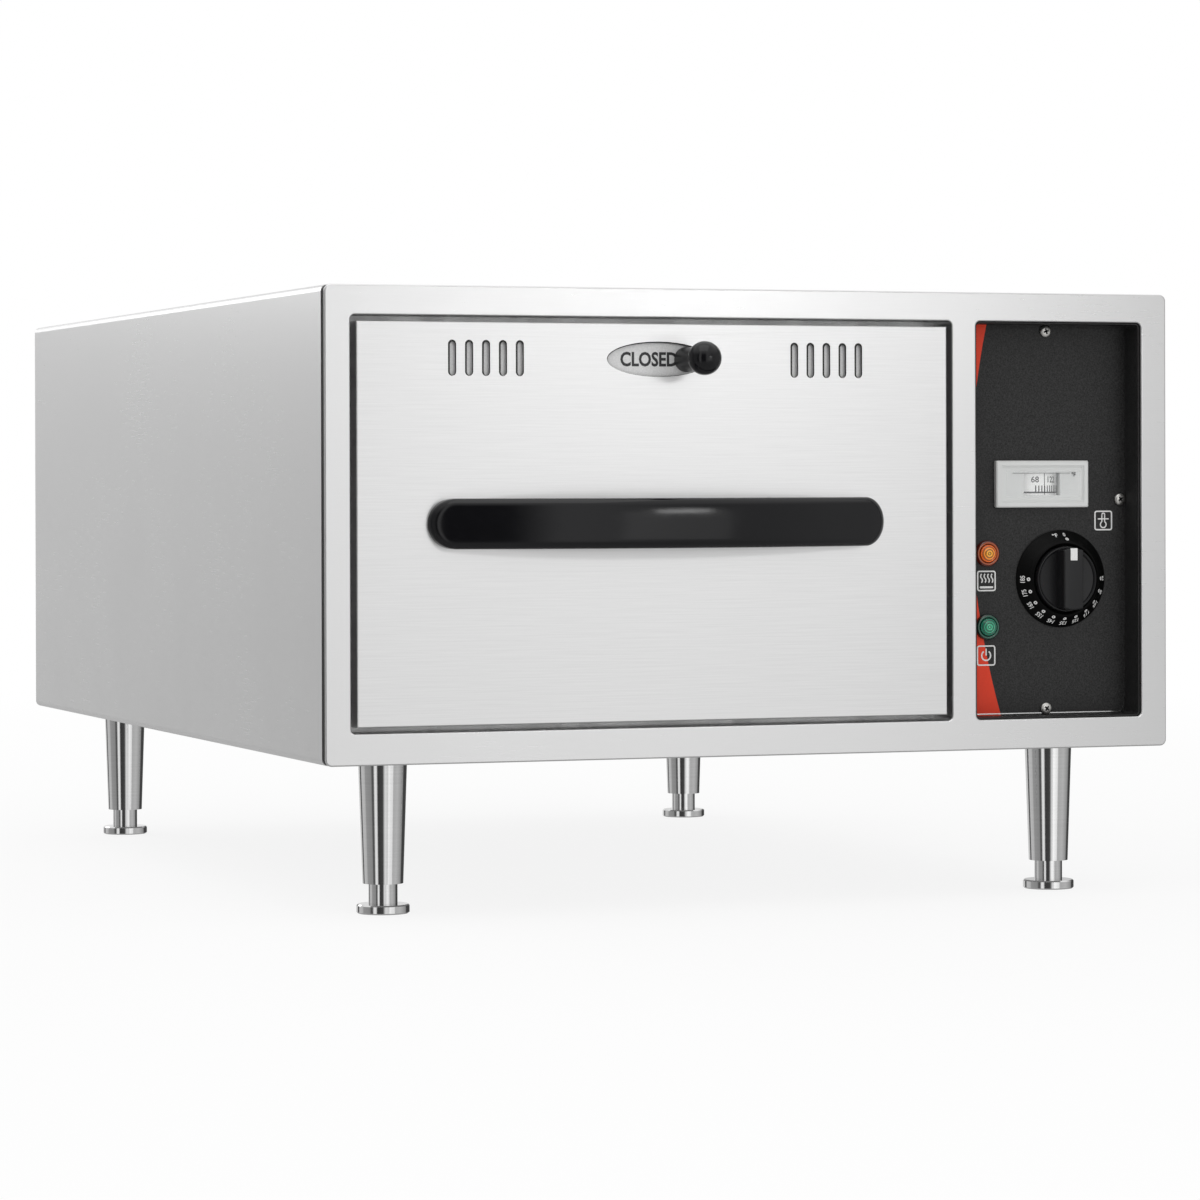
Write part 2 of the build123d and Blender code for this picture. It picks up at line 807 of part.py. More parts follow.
def slide_middle(side):
    web = slide_sheet + slide_fit
    return channel(side, web, web + slide_sheet + slide_middle_flange, middle_half_height)


def slide_inner(side):
    return channel(side, slide_thickness, slide_thickness - slide_sheet - slide_inner_flange, inner_half_height)


# Drawer

def slot_xs(shift=0.0):
    """Centres of every vent slot, in two groups."""
    places = []
    for group_side in (-1, 1):
        for i in range(slot_count):
            offset = (i - (slot_count - 1) / 2) * slot_pitch
            places.append(drawer_x + group_side * slot_group_offset + offset + shift)
    return places


def slots(y, depth, shift=0.0):
    """Solids that cut the vent slots through a sheet."""
    slot = Rot(0, 0, 90) * SlotOverall(slot_length, slot_width)
    cutters = [Pos(x, vent_z) * slot for x in slot_xs(shift)]
    return extrude(facing(y) * Sketch(children=cutters), amount=depth, dir=into_body)


def drawer_front():
    skin = front_area.plate(front_y, front_depth) - front_area.grow(-skin_sheet).plate(skin_back, front_depth)
    skin = fillet(edges_at(skin, Axis.Y, front_y), skin_round)
    window = Pos(drawer_x, vent_z) * Ellipse(window_half_width, window_half_height)
    skin -= extrude(facing(front_y) * window, amount=skin_sheet, dir=into_body)
    for x in handle_screw_xs:
        skin -= rod(x, drawer_z, handle_screw_radius + screw_fit, front_y, skin_sheet)
    return skin - slots(front_y, skin_sheet)


def drawer_inner_panel():
    return front_area.plate(inner_panel_y, inner_panel_sheet) - slots(inner_panel_y, inner_panel_sheet)


def drawer_insulation():
    low = front_area.low + skin_sheet + pad_margin
    high = vent_z - slot_length / 2 - vent_plate_margin - guide_width - pad_margin
    left = front_area.left + skin_sheet + pad_margin
    right = front_area.right - skin_sheet - pad_margin
    return Area(left, right, low, high).plate(inner_panel_y - fit - pad_thickness, pad_thickness)


def drawer_gasket():
    depth = liner_y - drawer_back_y - gasket_squeeze_gap
    return front_area.grow(-gasket_inset).hoop(gasket_width, drawer_back_y, depth)


def handle():
    """Arched pull: a bow in plan, cut to a bar with round ends in the front view."""
    sagitta = handle_reach - handle_side
    bow_radius = ((handle_length / 2) ** 2 + sagitta**2) / (2 * sagitta)
    half = handle_length / 2 + handle_trim
    side = handle_reach - bow_radius + sqrt(bow_radius**2 - half**2)
    inner_half = handle_length / 2 - handle_foot
    inner_reach = handle_reach - handle_thickness
    outline = [Line((-half, 0), (-half, -side)),
               ThreePointArc((-half, -side), (0, -handle_reach), (half, -side)),
               Line((half, -side), (half, 0)),
               Line((half, 0), (inner_half, 0)),
               ThreePointArc((inner_half, 0), (0, -inner_reach), (-inner_half, 0)),
               Line((-inner_half, 0), (-half, 0))]
    low = drawer_z - handle_height / 2
    plan = Pos(drawer_x, front_y, low) * make_face(Wire(outline))
    bar = extrude(plan, amount=handle_height, dir=upward)
    bow_edges = [edge for edge in bar.edges() if edge.length > 2 * inner_half]
    crown = min(edge.center().Y for edge in bow_edges)
    bar = fillet([edge for edge in bow_edges if edge.center().Y < crown + touch], handle_round)
    front_view = Pos(drawer_x, drawer_z) * SlotOverall(handle_length, handle_height)
    start = front_y - handle_reach - touch
    bar &= extrude(facing(start) * front_view, amount=handle_reach + 2 * touch, dir=into_body)
    for x in handle_screw_xs:
        bar -= rod(x, drawer_z, handle_screw_radius + running_fit, front_y - handle_screw_length, handle_screw_length)
    return bar


def handle_screws():
    screws = []
    for x in handle_screw_xs:
        shank_start = front_y - handle_screw_length + fit
        shank = rod(x, drawer_z, handle_screw_radius, shank_start, skin_back - shank_start)
        head = rod(x, drawer_z, handle_screw_head_radius, skin_back, handle_screw_head)
        screws.append(shank + head)
    return group(screws)


def vent_plate_area():
    left = drawer_x - slot_group_offset - slot_pitch * (slot_count - 1) / 2 - slot_width / 2 - vent_plate_overlap
    right = drawer_x + slot_group_offset + slot_pitch * (slot_count - 1) / 2 + slot_width / 2
    right += vent_travel + vent_plate_overlap
    half = slot_length / 2 + vent_plate_margin
    return Area(left, right, vent_z - half, vent_z + half)


def vent_plate():
    plate = vent_plate_area().plate(vent_plate_y, vent_sheet)
    plate -= rod(vent_stem_x, vent_z, vent_stem_radius + running_fit, vent_plate_y, vent_sheet)
    return plate - slots(vent_plate_y, vent_sheet, shift=vent_travel)


def vent_guides():
    """Grooved rails above and below the vent plate, on the back of the drawer front."""
    plate = vent_plate_area()
    left = front_area.left + skin_sheet + guide_end_gap
    right = front_area.right - skin_sheet - guide_end_gap
    groove_start = vent_plate_y - fit
    groove_end = vent_plate_y + vent_sheet + fit
    guides = []
    for edge, outward in ((plate.low, -1), (plate.high, 1)):
        seat = edge + outward * fit
        floor_zs = sorted((seat, seat + outward * guide_width))
        lip_zs = sorted((edge - outward * guide_hold, seat + outward * guide_width))
        rail = Area(left, right, *lip_zs).plate(skin_back, groove_start - skin_back)
        rail += Area(left, right, *floor_zs).plate(groove_start, groove_end - groove_start)
        guides.append(rail + Area(left, right, *lip_zs).plate(groove_end, guide_sheet))
    return group(guides)


def vent_stem():
    ball_y = front_y - ball_reach
    start = ball_y + ball_radius - ball_bore_depth + fit
    end = vent_plate_y + vent_sheet
    stem = rod(vent_stem_x, vent_z, vent_stem_radius, start, end - start)
    return stem + rod(vent_stem_x, vent_z, vent_rivet_radius, end, vent_rivet_height)


def vent_ball():
    ball_y = front_y - ball_reach
    ball = Pos(vent_stem_x, ball_y, vent_z) * Rot(90, 0, 0) * Sphere(ball_radius)
    bore_y = ball_y + ball_radius - ball_bore_depth
    return ball - rod(vent_stem_x, vent_z, vent_stem_radius + running_fit, bore_y, ball_radius)


def pan_carrier():
    """Frame with a sunk shelf that the pan's rim rests on."""
    carrier = carrier_area.kerb(carrier_sheet, carrier_bottom, carrier_height)
    pan_body = pan_body_area().grow(carrier_shelf_gap)
    shelf = carrier_area.slab(carrier_shelf_z, carrier_sheet)
    return carrier + (shelf - pan_body.slab(carrier_shelf_z, carrier_sheet))


def pan_area():
    inside = carrier_area.grow(-carrier_sheet - carrier_rim_gap)
    return Area(inside.left, inside.right, inside.low, inside.high, pan_corner)


def pan_body_area():
    return pan_area().grow(-pan_rim)


def food_pan():
    """Deep pan with tapered walls and a turned-down rim."""
    top = Plane(origin=(0, 0, pan_rim_z))
    outer = extrude(top * pan_body_area().sketch(), amount=-pan_depth, taper=pan_taper)
    hollow_depth = pan_depth - pan_sheet
    hollow = extrude(top * pan_body_area().grow(-pan_sheet).sketch(), amount=-hollow_depth, taper=pan_taper)
    rim = pan_area().slab(pan_rim_z - pan_sheet, pan_sheet)
    rim += pan_area().kerb(pan_sheet, pan_rim_z - pan_rim_lip, pan_rim_lip)
    return outer + rim - hollow


# Nodes

nodes = {
    "outer_casing": outer_casing(),
    "casing_seal": casing_seal(),
    "front_frame": front_frame(),
    "rear_panel": rear_panel(),
    "base_pan": base_pan(),
    "chamber_liner": chamber_liner(),
    "insulation": insulation(),
    "control_bay_wall": control_bay_wall(),
    "leg_nuts": leg_nuts(),
    "heating_element": heating_element(),
    "element_brackets": element_brackets(),
    "thermostat_bulb": thermostat_bulb(),
    "control_panel": control_panel(),
    "panel_screws": panel_screws(),
    "thermometer_bezel": thermometer_bezel(),
    "thermometer_lens": thermometer_lens(),
    "thermometer_case": thermometer_case(),
    "thermometer_drum": thermometer_drum(),
    "amber_lens": lamp_lens(lamp_zs["amber"]),
    "green_lens": lamp_lens(lamp_zs["green"]),
    "lamp_bodies": lamp_bodies(),
    "dial_plate": dial_plate(),
    "thermostat_body": thermostat_body(),
    "thermostat_spindle": thermostat_spindle(),
    "knob": knob(),
    "knob_pointer": knob_pointer(),
    "terminal_block": terminal_block(),
    "cable_gland": cable_gland(),
    "gland_nut": gland_nut(),
    "drawer_front": drawer_front(),
    "drawer_inner_panel": drawer_inner_panel(),
    "drawer_insulation": drawer_insulation(),
    "drawer_gasket": drawer_gasket(),
    "handle": handle(),
    "handle_screws": handle_screws(),
    "vent_guides": vent_guides(),
    "vent_plate": vent_plate(),
    "vent_stem": vent_stem(),
    "vent_ball": vent_ball(),
    "pan_carrier": pan_carrier(),
    "food_pan": food_pan(),
}
for place, (leg_x, leg_y) in leg_points.items():
    nodes[f"leg_{place}"] = leg(leg_x, leg_y)
    nodes[f"foot_{place}"] = foot(leg_x, leg_y)
for name, side in (("left", -1), ("right", 1)):
    nodes[f"slide_outer_{name}"] = slide_outer(side)
    nodes[f"slide_middle_{name}"] = slide_middle(side)
    nodes[f"slide_inner_{name}"] = slide_inner(side)

os.makedirs("parts", exist_ok=True)
for name, shape in nodes.items():
    export_step(shape, f"parts/{name}.step")
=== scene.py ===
# %% [markdown]
# # Warming drawer
#
# This notebook dresses a finished CAD model of a warming drawer: a stainless cabinet on four legs, with
# one wide drawer and a sunk control panel. The CAD model gives the joints and nearly all sizes. What it
# lacks is the look: brushed and polished steel, a moulded black grip, printed marks, lamp lenses and
# screw recesses.
#
# The first cell loads the model and bakes each part's place into its points. Nothing made here may grow
# past it.

# %% Load the model
import json
from math import asin, atan2, cos, pi, radians, sin, sqrt, tau

import bmesh
import bpy
from mathutils import Matrix, Vector


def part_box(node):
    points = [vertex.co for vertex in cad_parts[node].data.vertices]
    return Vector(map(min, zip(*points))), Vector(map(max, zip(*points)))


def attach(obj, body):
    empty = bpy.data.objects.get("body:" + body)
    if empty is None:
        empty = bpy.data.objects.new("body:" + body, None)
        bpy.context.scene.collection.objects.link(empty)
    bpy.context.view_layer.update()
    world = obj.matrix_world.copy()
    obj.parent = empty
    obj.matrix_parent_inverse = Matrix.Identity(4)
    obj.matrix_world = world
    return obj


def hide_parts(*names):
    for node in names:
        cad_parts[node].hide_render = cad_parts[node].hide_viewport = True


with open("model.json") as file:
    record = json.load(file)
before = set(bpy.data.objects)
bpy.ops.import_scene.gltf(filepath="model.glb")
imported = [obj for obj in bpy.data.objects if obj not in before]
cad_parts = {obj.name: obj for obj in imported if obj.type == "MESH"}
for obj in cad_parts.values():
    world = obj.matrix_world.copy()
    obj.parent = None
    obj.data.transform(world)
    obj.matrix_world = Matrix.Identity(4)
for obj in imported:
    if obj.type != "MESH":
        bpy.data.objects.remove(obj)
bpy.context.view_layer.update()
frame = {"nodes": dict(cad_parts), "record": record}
mm = 0.001
nodes = frame["nodes"]

# %% [markdown]
# ## Camera
#
# The drawer is seen from a little to its left, almost level with the middle of its body and far away, so
# upright edges stay upright. A long lens does that. The alternative is a short lens close by, which would
# spread the corners. The frame is moved down with a lens shift and not by tilting the camera, which would
# lean the legs.

# %% Camera
def linked(name, data):
    """Make an object from its data and put it in the scene."""
    item = bpy.data.objects.new(name, data)
    bpy.context.collection.objects.link(item)
    return item


camera_data = bpy.data.cameras.new("long_lens")
camera_data.sensor_width = 36.0
camera_data.lens = 131.48
camera_data.shift_y = -0.0797
camera = linked("camera", camera_data)
camera.location = (-0.9848, -2.7819, 0.2549)
camera.rotation_euler = (radians(89.7), radians(0.154), radians(-20.047))
bpy.context.scene.camera = camera
bpy.context.scene.view_settings.view_transform = "Standard"
print("camera at", tuple(round(c, 3) for c in camera.location))

# %% [markdown]
# ## Writing shader maths as Python
#
# A material is a graph of nodes. Clicking it together is quick to try but hard to read back, so here a
# small class stands for one node's output, and adding or multiplying two of them adds a Math node.
# Everything else comes from one method that takes the node's type, its settings and its inputs.

# %% Shader graph helpers
class Signal:
    """One output of a shader node. Arithmetic on it adds Math nodes."""

    def __init__(self, graph, socket):
        self.graph = graph
        self.socket = socket

    def __add__(self, other):
        return self.graph.maths("ADD", self, other)

    def __radd__(self, other):
        return self.graph.maths("ADD", other, self)

    def __sub__(self, other):
        return self.graph.maths("SUBTRACT", self, other)

    def __rsub__(self, other):
        return self.graph.maths("SUBTRACT", other, self)

    def __mul__(self, other):
        return self.graph.maths("MULTIPLY", self, other)

    def __rmul__(self, other):
        return self.graph.maths("MULTIPLY", other, self)

    def __truediv__(self, other):
        return self.graph.maths("DIVIDE", self, other)


class Graph:
    """A node tree that is filled in by calls."""

    def __init__(self, tree):
        self.tree = tree

    def node(self, kind, settings=None, inputs=None, output=0):
        node = self.tree.nodes.new(kind)
        for name, value in (settings or {}).items():
            if name == "stops":
                self.set_stops(node.color_ramp.elements, value)
            else:
                setattr(node, name, value)
        for name, value in (inputs or {}).items():
            self.feed(node.inputs[name], value)
        return Signal(self, node.outputs[output])

    def feed(self, socket, value):
        if isinstance(value, Signal):
            self.tree.links.new(value.socket, socket)
        else:
            socket.default_value = value

    def maths(self, operation, first, second=0.0):
        return self.node("ShaderNodeMath", {"operation": operation}, {0: first, 1: second})

    def blend(self, factor, first, second):
        """Colour that goes from the first to the second with the factor."""
        return self.node("ShaderNodeMix", {"data_type": "RGBA"}, {0: factor, 6: first, 7: second}, output=2)

    def ray(self, kind):
        """One where the ray is of that kind, and zero elsewhere."""
        return self.node("ShaderNodeLightPath", output=f"Is {kind} Ray")

    def from_to(self, value, start, end):
        """A value that goes from zero at the start to one at the end."""
        inputs = {"Value": value, "From Min": start, "From Max": end}
        return self.node("ShaderNodeMapRange", {"clamp": True}, inputs)

    def set_stops(self, elements, stops):
        while len(elements) > 1:
            elements.remove(elements[-1])
        elements[0].position, elements[0].color = stops[0]
        for place, colour in stops[1:]:
            elements.new(place).color = colour


print("helpers ready:", Signal.__name__, Graph.__name__)

# %% [markdown]
# ## Finishes
#
# Each finish is one Principled material. What is the same all over is set straight on the shader's
# socket. What changes over the surface, such as grain or tarnish, is fed in from noise on Object
# coordinates. Those are metres in the CAD frame, so a grain of half a millimetre is the same on every
# piece, and it moves with a drawer that slides.

# %% Finish class
def grey(value):
    return (value, value, value, 1.0)


class Finish(Graph):
    """A Principled material. Keyword values go to the sockets of the same name."""

    def __init__(self, name, **constants):
        self.material = bpy.data.materials.new(name)
        self.material.use_nodes = True
        super().__init__(self.material.node_tree)
        self.shader = self.tree.nodes["Principled BSDF"]
        self.place = self.node("ShaderNodeTexCoord", output="Object")
        self.set(**constants)

    def set(self, **inputs):
        for name, value in inputs.items():
            self.feed(self.shader.inputs[name.replace("_", " ")], value)

    def noise(self, stretch, detail=2.0, roughness=0.5):
        """Noise whose lumps are one over stretch metres long, along X, Y and Z."""
        spread = self.node("ShaderNodeMapping", {}, {"Vector": self.place, "Scale": stretch})
        return self.node("ShaderNodeTexNoise", {}, {"Vector": spread, "Scale": 1.0, "Detail": detail,
                                                    "Roughness": roughness})

    def bump(self, height, strength, distance):
        inputs = {"Height": height, "Strength": strength, "Distance": distance}
        return self.node("ShaderNodeBump", {}, inputs)


finishes = {}
print("finish class ready")

# %% [markdown]
# ### Sheet steel
#
# Stainless sheet is rolled and then rubbed with an abrasive belt, which leaves fine parallel scratches.
# They could be drawn with anisotropic shading, but the scratches that the eye sees up close are light and
# dark lines. So stretched noise moves the colour and the roughness a little, and a bump of some
# micrometres bends the surface normal. The wrapped casing and the frame are finer and smoother than the
# drawer front.

# %% Satin and brushed steel
def sheet_steel(name, colour, roughness, grain, across, spread, depth):
    steel = Finish(name, Metallic=1.0)
    lines = steel.noise(grain, detail=3.0, roughness=0.6)
    clouds = steel.noise((9.0, 9.0, 9.0), detail=2.0)
    fine = steel.noise(across, detail=2.0, roughness=0.7)
    dark = grey(colour - spread)
    light = grey(colour + spread)
    steel.set(Base_Color=steel.blend(lines * 0.7 + clouds * 0.3, dark, light),
              Roughness=roughness + (lines - 0.5) * 0.12 + (clouds - 0.5) * 0.05,
              Normal=steel.bump(lines * 0.6 + fine * 0.4, 0.25, depth))
    return steel


finishes["steel_satin"] = sheet_steel("satin_steel", colour=0.71, roughness=0.30, grain=(60.0, 60.0, 1500.0),
                                      across=(120.0, 120.0, 3600.0), spread=0.02, depth=0.00002)
finishes["steel_brushed"] = sheet_steel("brushed_steel", colour=0.73, roughness=0.33,
                                        grain=(22.0, 22.0, 1100.0), across=(90.0, 90.0, 4200.0),
                                        spread=0.10, depth=0.00006)
print("sheet steel:", len(finishes))

# %% [markdown]
# ### Turned, plated and coated metal
#
# The legs are turned and buffed, so their lines run round them, and their reflections are sharp. Zinc
# plate on the slides is yellower and cloudy, galvanised sheet shows large dull flakes, and a Voronoi
# texture gives those. The control panel is powder coated: the coat has no lines, only a fine orange-peel
# bump.

# %% Polished steel, zinc, galvanised sheet, powder coat
def polished_steel():
    steel = Finish("polished_steel", Metallic=1.0)
    rings = steel.noise((14.0, 14.0, 1400.0), detail=2.0)
    steel.set(Base_Color=steel.blend(rings, grey(0.66), grey(0.76)), Roughness=0.07 + rings * 0.05,
              Normal=steel.bump(rings, 0.10, 0.00001))
    return steel


def zinc_plate(name, colour, clouds_per_metre):
    zinc = Finish(name, Metallic=1.0)
    clouds = zinc.noise((clouds_per_metre,) * 3, detail=4.0, roughness=0.6)
    dull = tuple(0.82 * c for c in colour[:3]) + (1.0,)
    zinc.set(Base_Color=zinc.blend(clouds, dull, colour), Roughness=0.28 + clouds * 0.2,
             Normal=zinc.bump(clouds, 0.1, 0.0001))
    return zinc


def galvanised_sheet():
    sheet = Finish("galvanised_sheet", Metallic=1.0)
    flakes = sheet.node("ShaderNodeTexVoronoi", {"feature": "F1"}, {"Vector": sheet.place, "Scale": 140.0},
                        output="Color")
    lightness = sheet.node("ShaderNodeSeparateColor", {}, {"Color": flakes})
    sheet.set(Base_Color=sheet.blend(lightness, grey(0.50), grey(0.66)), Roughness=0.34 + lightness * 0.16,
              Normal=sheet.bump(lightness, 0.08, 0.0001))
    return sheet


def powder_coat():
    coat = Finish("black_powder_coat", Metallic=0.0, Specular_IOR_Level=0.35)
    grains = coat.noise((1150.0,) * 3, detail=3.0, roughness=0.7)
    speckle = (grains - 0.5) * 2.6 + 0.4
    coat.set(Base_Color=coat.blend(speckle, grey(0.006), grey(0.040)), Roughness=0.44 + grains * 0.16,
             Normal=coat.bump(grains, 0.5, 0.0002))
    return coat


finishes["steel_polished"] = polished_steel()
finishes["zinc"] = zinc_plate("zinc_plate", (0.66, 0.65, 0.60, 1.0), 45.0)
finishes["galvanised"] = galvanised_sheet()
finishes["black_metal"] = powder_coat()
print("metals:", len(finishes))

# %% [markdown]
# ### Plastics, rubber and the rest
#
# A moulded piece is one colour with a soft, slightly uneven gloss. The same recipe serves for all of
# them, with its own colour, gloss and grain: even a plain plastic has a faint ripple, without which it
# looks like a drawing.

# %% Moulded and other finishes
def moulded(name, colour, roughness, grains_per_metre, depth, spread=0.12, **constants):
    plastic = Finish(name, **constants)
    grain = plastic.noise((grains_per_metre,) * 3, detail=3.0)
    dark = tuple(c * (1 - spread) for c in colour) + (1.0,)
    light = tuple(min(1.0, c * (1 + spread)) for c in colour) + (1.0,)
    plastic.set(Base_Color=plastic.blend(grain, dark, light), Roughness=roughness + (grain - 0.5) * 0.08,
                Normal=plastic.bump(grain, 0.2, depth))
    return plastic


finishes["black_gloss"] = moulded("black_gloss_plastic", (0.004, 0.004, 0.005), 0.13, 160.0, 0.00003,
                                  Specular_IOR_Level=0.36)
finishes["black_matte"] = moulded("black_matte_plastic", (0.011, 0.011, 0.012), 0.38, 900.0, 0.00005,
                                  Specular_IOR_Level=0.33)
finishes["black_rubber"] = moulded("black_rubber", (0.014, 0.014, 0.014), 0.62, 1200.0, 0.00005)
finishes["white_plastic"] = moulded("pale_plastic", (0.72, 0.73, 0.72), 0.34, 700.0, 0.00003, 0.03)
finishes["white_inlay"] = moulded("white_ink", (0.80, 0.80, 0.79), 0.45, 900.0, 0.00001, 0.04)
finishes["bakelite"] = moulded("brown_bakelite", (0.055, 0.022, 0.012), 0.30, 260.0, 0.00004)
finishes["insulation"] = moulded("mineral_wool", (0.62, 0.54, 0.30), 0.95, 420.0, 0.0012, 0.25)
finishes["element"] = moulded("heater_sheath", (0.20, 0.19, 0.18), 0.42, 320.0, 0.00005, 0.25, Metallic=1.0)
finishes["copper"] = moulded("copper", (0.78, 0.40, 0.24), 0.30, 200.0, 0.00003, 0.10, Metallic=1.0)
finishes["clear"] = moulded("clear_lens", (0.90, 0.92, 0.92), 0.05, 60.0, 0.000005, 0.02, Alpha=0.10)
dial_black = moulded("dial_black", (0.002, 0.002, 0.002), 0.42, 900.0, 0.00003, Specular_IOR_Level=0.10)
blasted_plate = moulded("blasted_plate", (0.74, 0.74, 0.74), 0.44, 1400.0, 0.0001, 0.20, Metallic=0.3)
# The scale card glows a little: painted light that brightens it inside the shaded thermometer case.
glowing_scale_card = moulded("glowing_scale_card", (0.86, 0.86, 0.85), 0.5, 700.0, 0.00001, 0.02, Emission_Color=grey(0.9),
                     Emission_Strength=0.22)
screw_zinc = zinc_plate("screw_zinc", (0.74, 0.73, 0.70, 1.0), 300.0)
print("finishes:", sorted(finishes))

# %% [markdown]
# ### Lamp lenses
#
# A lamp lens is a coloured dome with rings moulded into it, lit from behind in its middle. Real light
# through a real lens is slow and noisy at this size, so the colour runs from a bright centre to a deep
# rim with the distance from the lamp's axis, and a little emission makes both glow, the amber one more.

# %% Lens finish
lens_radius = 8.2


def lens_finish(name, centre, bright, middle, rim, glow):
    """Glass with rings, light and dark by turns out to the dome's edge, then a deep rim."""
    lens = Finish(name, Roughness=0.10, Coat_Weight=0.7, Coat_Roughness=0.03)
    from_centre = {"Vector": lens.place, "Location": (-centre[0], 0.0, -centre[2]), "Scale": (1.0, 0.0, 1.0)}
    shifted = lens.node("ShaderNodeMapping", {"vector_type": "POINT"}, from_centre)
    away = lens.node("ShaderNodeVectorMath", {"operation": "LENGTH"}, {0: shifted}, output="Value")
    facets = lens.noise((500.0,) * 3, detail=1.0)
    stops = []
    for i in range(7):
        fade = i / 6
        ring = 0.08 if i % 2 else 1.0
        colour = [(b * (1 - fade) + m * fade) * ring for b, m in zip(bright, middle)]
        stops.append((0.10 * i, (*colour[:3], 1.0)))
    stops += [(0.66, rim), (0.80, tuple(0.35 * m for m in middle[:3]) + (1.0,)), (0.88, rim), (1.0, rim)]
    outward = away / (lens_radius * mm) + (facets - 0.5) * 0.04
    colour = lens.node("ShaderNodeValToRGB", {"stops": stops}, {"Fac": outward})
    lens.set(Base_Color=colour, Emission_Color=colour, Emission_Strength=glow)
    return lens


def middle_of(node):
    low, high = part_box(node)
    return (low + high) / 2


amber_lens_finish = lens_finish("amber_glass", middle_of("amber_lens"), (1.0, 0.55, 0.04, 1.0),
                                (0.90, 0.16, 0.012, 1.0), (0.05, 0.004, 0.001, 1.0), 0.30)
green_lens_finish = lens_finish("green_glass", middle_of("green_lens"), (0.10, 0.75, 0.42, 1.0),
                                (0.006, 0.26, 0.15, 1.0), (0.001, 0.012, 0.008, 1.0), 0.10)
finishes["amber"] = amber_lens_finish
finishes["green"] = green_lens_finish
print("lens centres:", [tuple(round(c / mm, 1) for c in middle_of(n)) for n in ("amber_lens", "green_lens")])

# %% [markdown]
# ### Dressing the CAD nodes
#
# The record names a material slot for every node. Each node gets the finish of its slot, and its shape
# stays as it is.

# %% Dress the nodes
slot_of = {part["node"]: part["material_slot"] for part in frame["record"]["subparts"]}
for name, node in nodes.items():
    node.data.materials.clear()
    node.data.materials.append(finishes[slot_of[name]].material)
nodes["vent_plate"].data.materials[0] = blasted_plate.material
print("dressed:", len(slot_of))

# %% [markdown]
# ## Making pieces
#
# A new piece is a bmesh: a few starting shapes, then operators such as extrude, inset and bevel. These
# helpers are used by all of them. Sharp edges are marked by angle, so that curved walls shade smoothly
# and corners stay crisp.

# %% Piece helpers
def add_piece(name, bm, body, finish, angle=35):
    """Turn a bmesh into a finished piece that rides on a body."""
    bmesh.ops.recalc_face_normals(bm, faces=bm.faces)
    mesh = bpy.data.meshes.new(name)
    bm.to_mesh(mesh)
    bm.free()
    mesh.shade_smooth()
    mesh.set_sharp_from_angle(angle=radians(angle))
    mesh.materials.append(finish.material)
    piece = linked(name, mesh)
    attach(piece, body)
    print(name, "faces:", len(mesh.polygons))
    return piece


def turn_to_front(bm, place):
    """Stand a shape drawn in X and Y upright at a place, so that its +Z side faces the viewer."""
    matrix = Matrix.Translation(place) @ Matrix.Rotation(pi / 2, 4, "X")
    bmesh.ops.transform(bm, matrix=matrix, verts=bm.verts)
    return bm


def thicken(bm, depth):
    """Give a flat shape that faces up a thickness towards +Z."""
    bmesh.ops.recalc_face_normals(bm, faces=bm.faces)
    made = bmesh.ops.extrude_face_region(bm, geom=bm.faces[:])
    moved = [item for item in made["geom"] if isinstance(item, bmesh.types.BMVert)]
    bmesh.ops.translate(bm, vec=(0, 0, depth), verts=moved)
    return bm


def join(target, source, matrix=Matrix.Identity(4)):
    """Copy one bmesh into another, moved by a matrix."""
    bmesh.ops.transform(source, matrix=matrix, verts=source.verts)
    mesh = bpy.data.meshes.new("joined")
    source.to_mesh(mesh)
    source.free()
    target.from_mesh(mesh)
    bpy.data.meshes.remove(mesh)
    return target


def stadium(length, height, segments=46):
    """Flat bar with round ends: a circle with its halves moved apart. Points on its middle line go left."""
    bm = bmesh.new()
    bmesh.ops.create_circle(bm, cap_ends=True, segments=segments, radius=height / 2)
    for vert in bm.verts:
        vert.co.x += (length - height) / 2 * (1 if vert.co.x > 0 else -1)
    return bm


def rounded_plate(width, height, radius, segments=4):
    """Flat rectangle with rounded corners, drawn in X and Y."""
    bm = bmesh.new()
    bmesh.ops.create_grid(bm, x_segments=1, y_segments=1, size=0.5)
    bmesh.ops.scale(bm, vec=(width, height, 1), verts=bm.verts)
    bmesh.ops.bevel(bm, geom=bm.verts[:], offset=radius, affect="VERTICES", segments=segments, profile=0.5,
                    material=-1)
    return bm


def raised_front(bm, height):
    """Give a flat shape a wall of that height, and return the faces of its front."""
    made = bmesh.ops.extrude_face_region(bm, geom=bm.faces[:])
    front = [item for item in made["geom"] if isinstance(item, bmesh.types.BMFace)]
    bmesh.ops.translate(bm, vec=(0, 0, height), verts=list({vert for face in front for vert in face.verts}))
    return front


def ledge(bm, faces, moved):
    """Put a ring of faces round a region by an inset of no width, then move its inner points."""
    bmesh.ops.inset_region(bm, faces=faces, thickness=0.0, use_boundary=True)
    for vert in {vert for face in faces for vert in face.verts}:
        vert.co = moved(vert.co)


def in_mm(points):
    return [(radius * mm, height * mm) for radius, height in points]


def turned(profile, steps=48):
    """Spin (radius, height) points about Z."""
    bm = bmesh.new()
    points = [bm.verts.new((radius, 0, height)) for radius, height in profile]
    edges = [bm.edges.new(pair) for pair in zip(points, points[1:])]
    bmesh.ops.spin(bm, geom=points + edges, cent=(0, 0, 0), axis=(0, 0, 1), angle=tau, steps=steps,
                   use_merge=True)
    bmesh.ops.remove_doubles(bm, verts=bm.verts, dist=0.001 * mm)
    return bm


print("piece helpers ready")

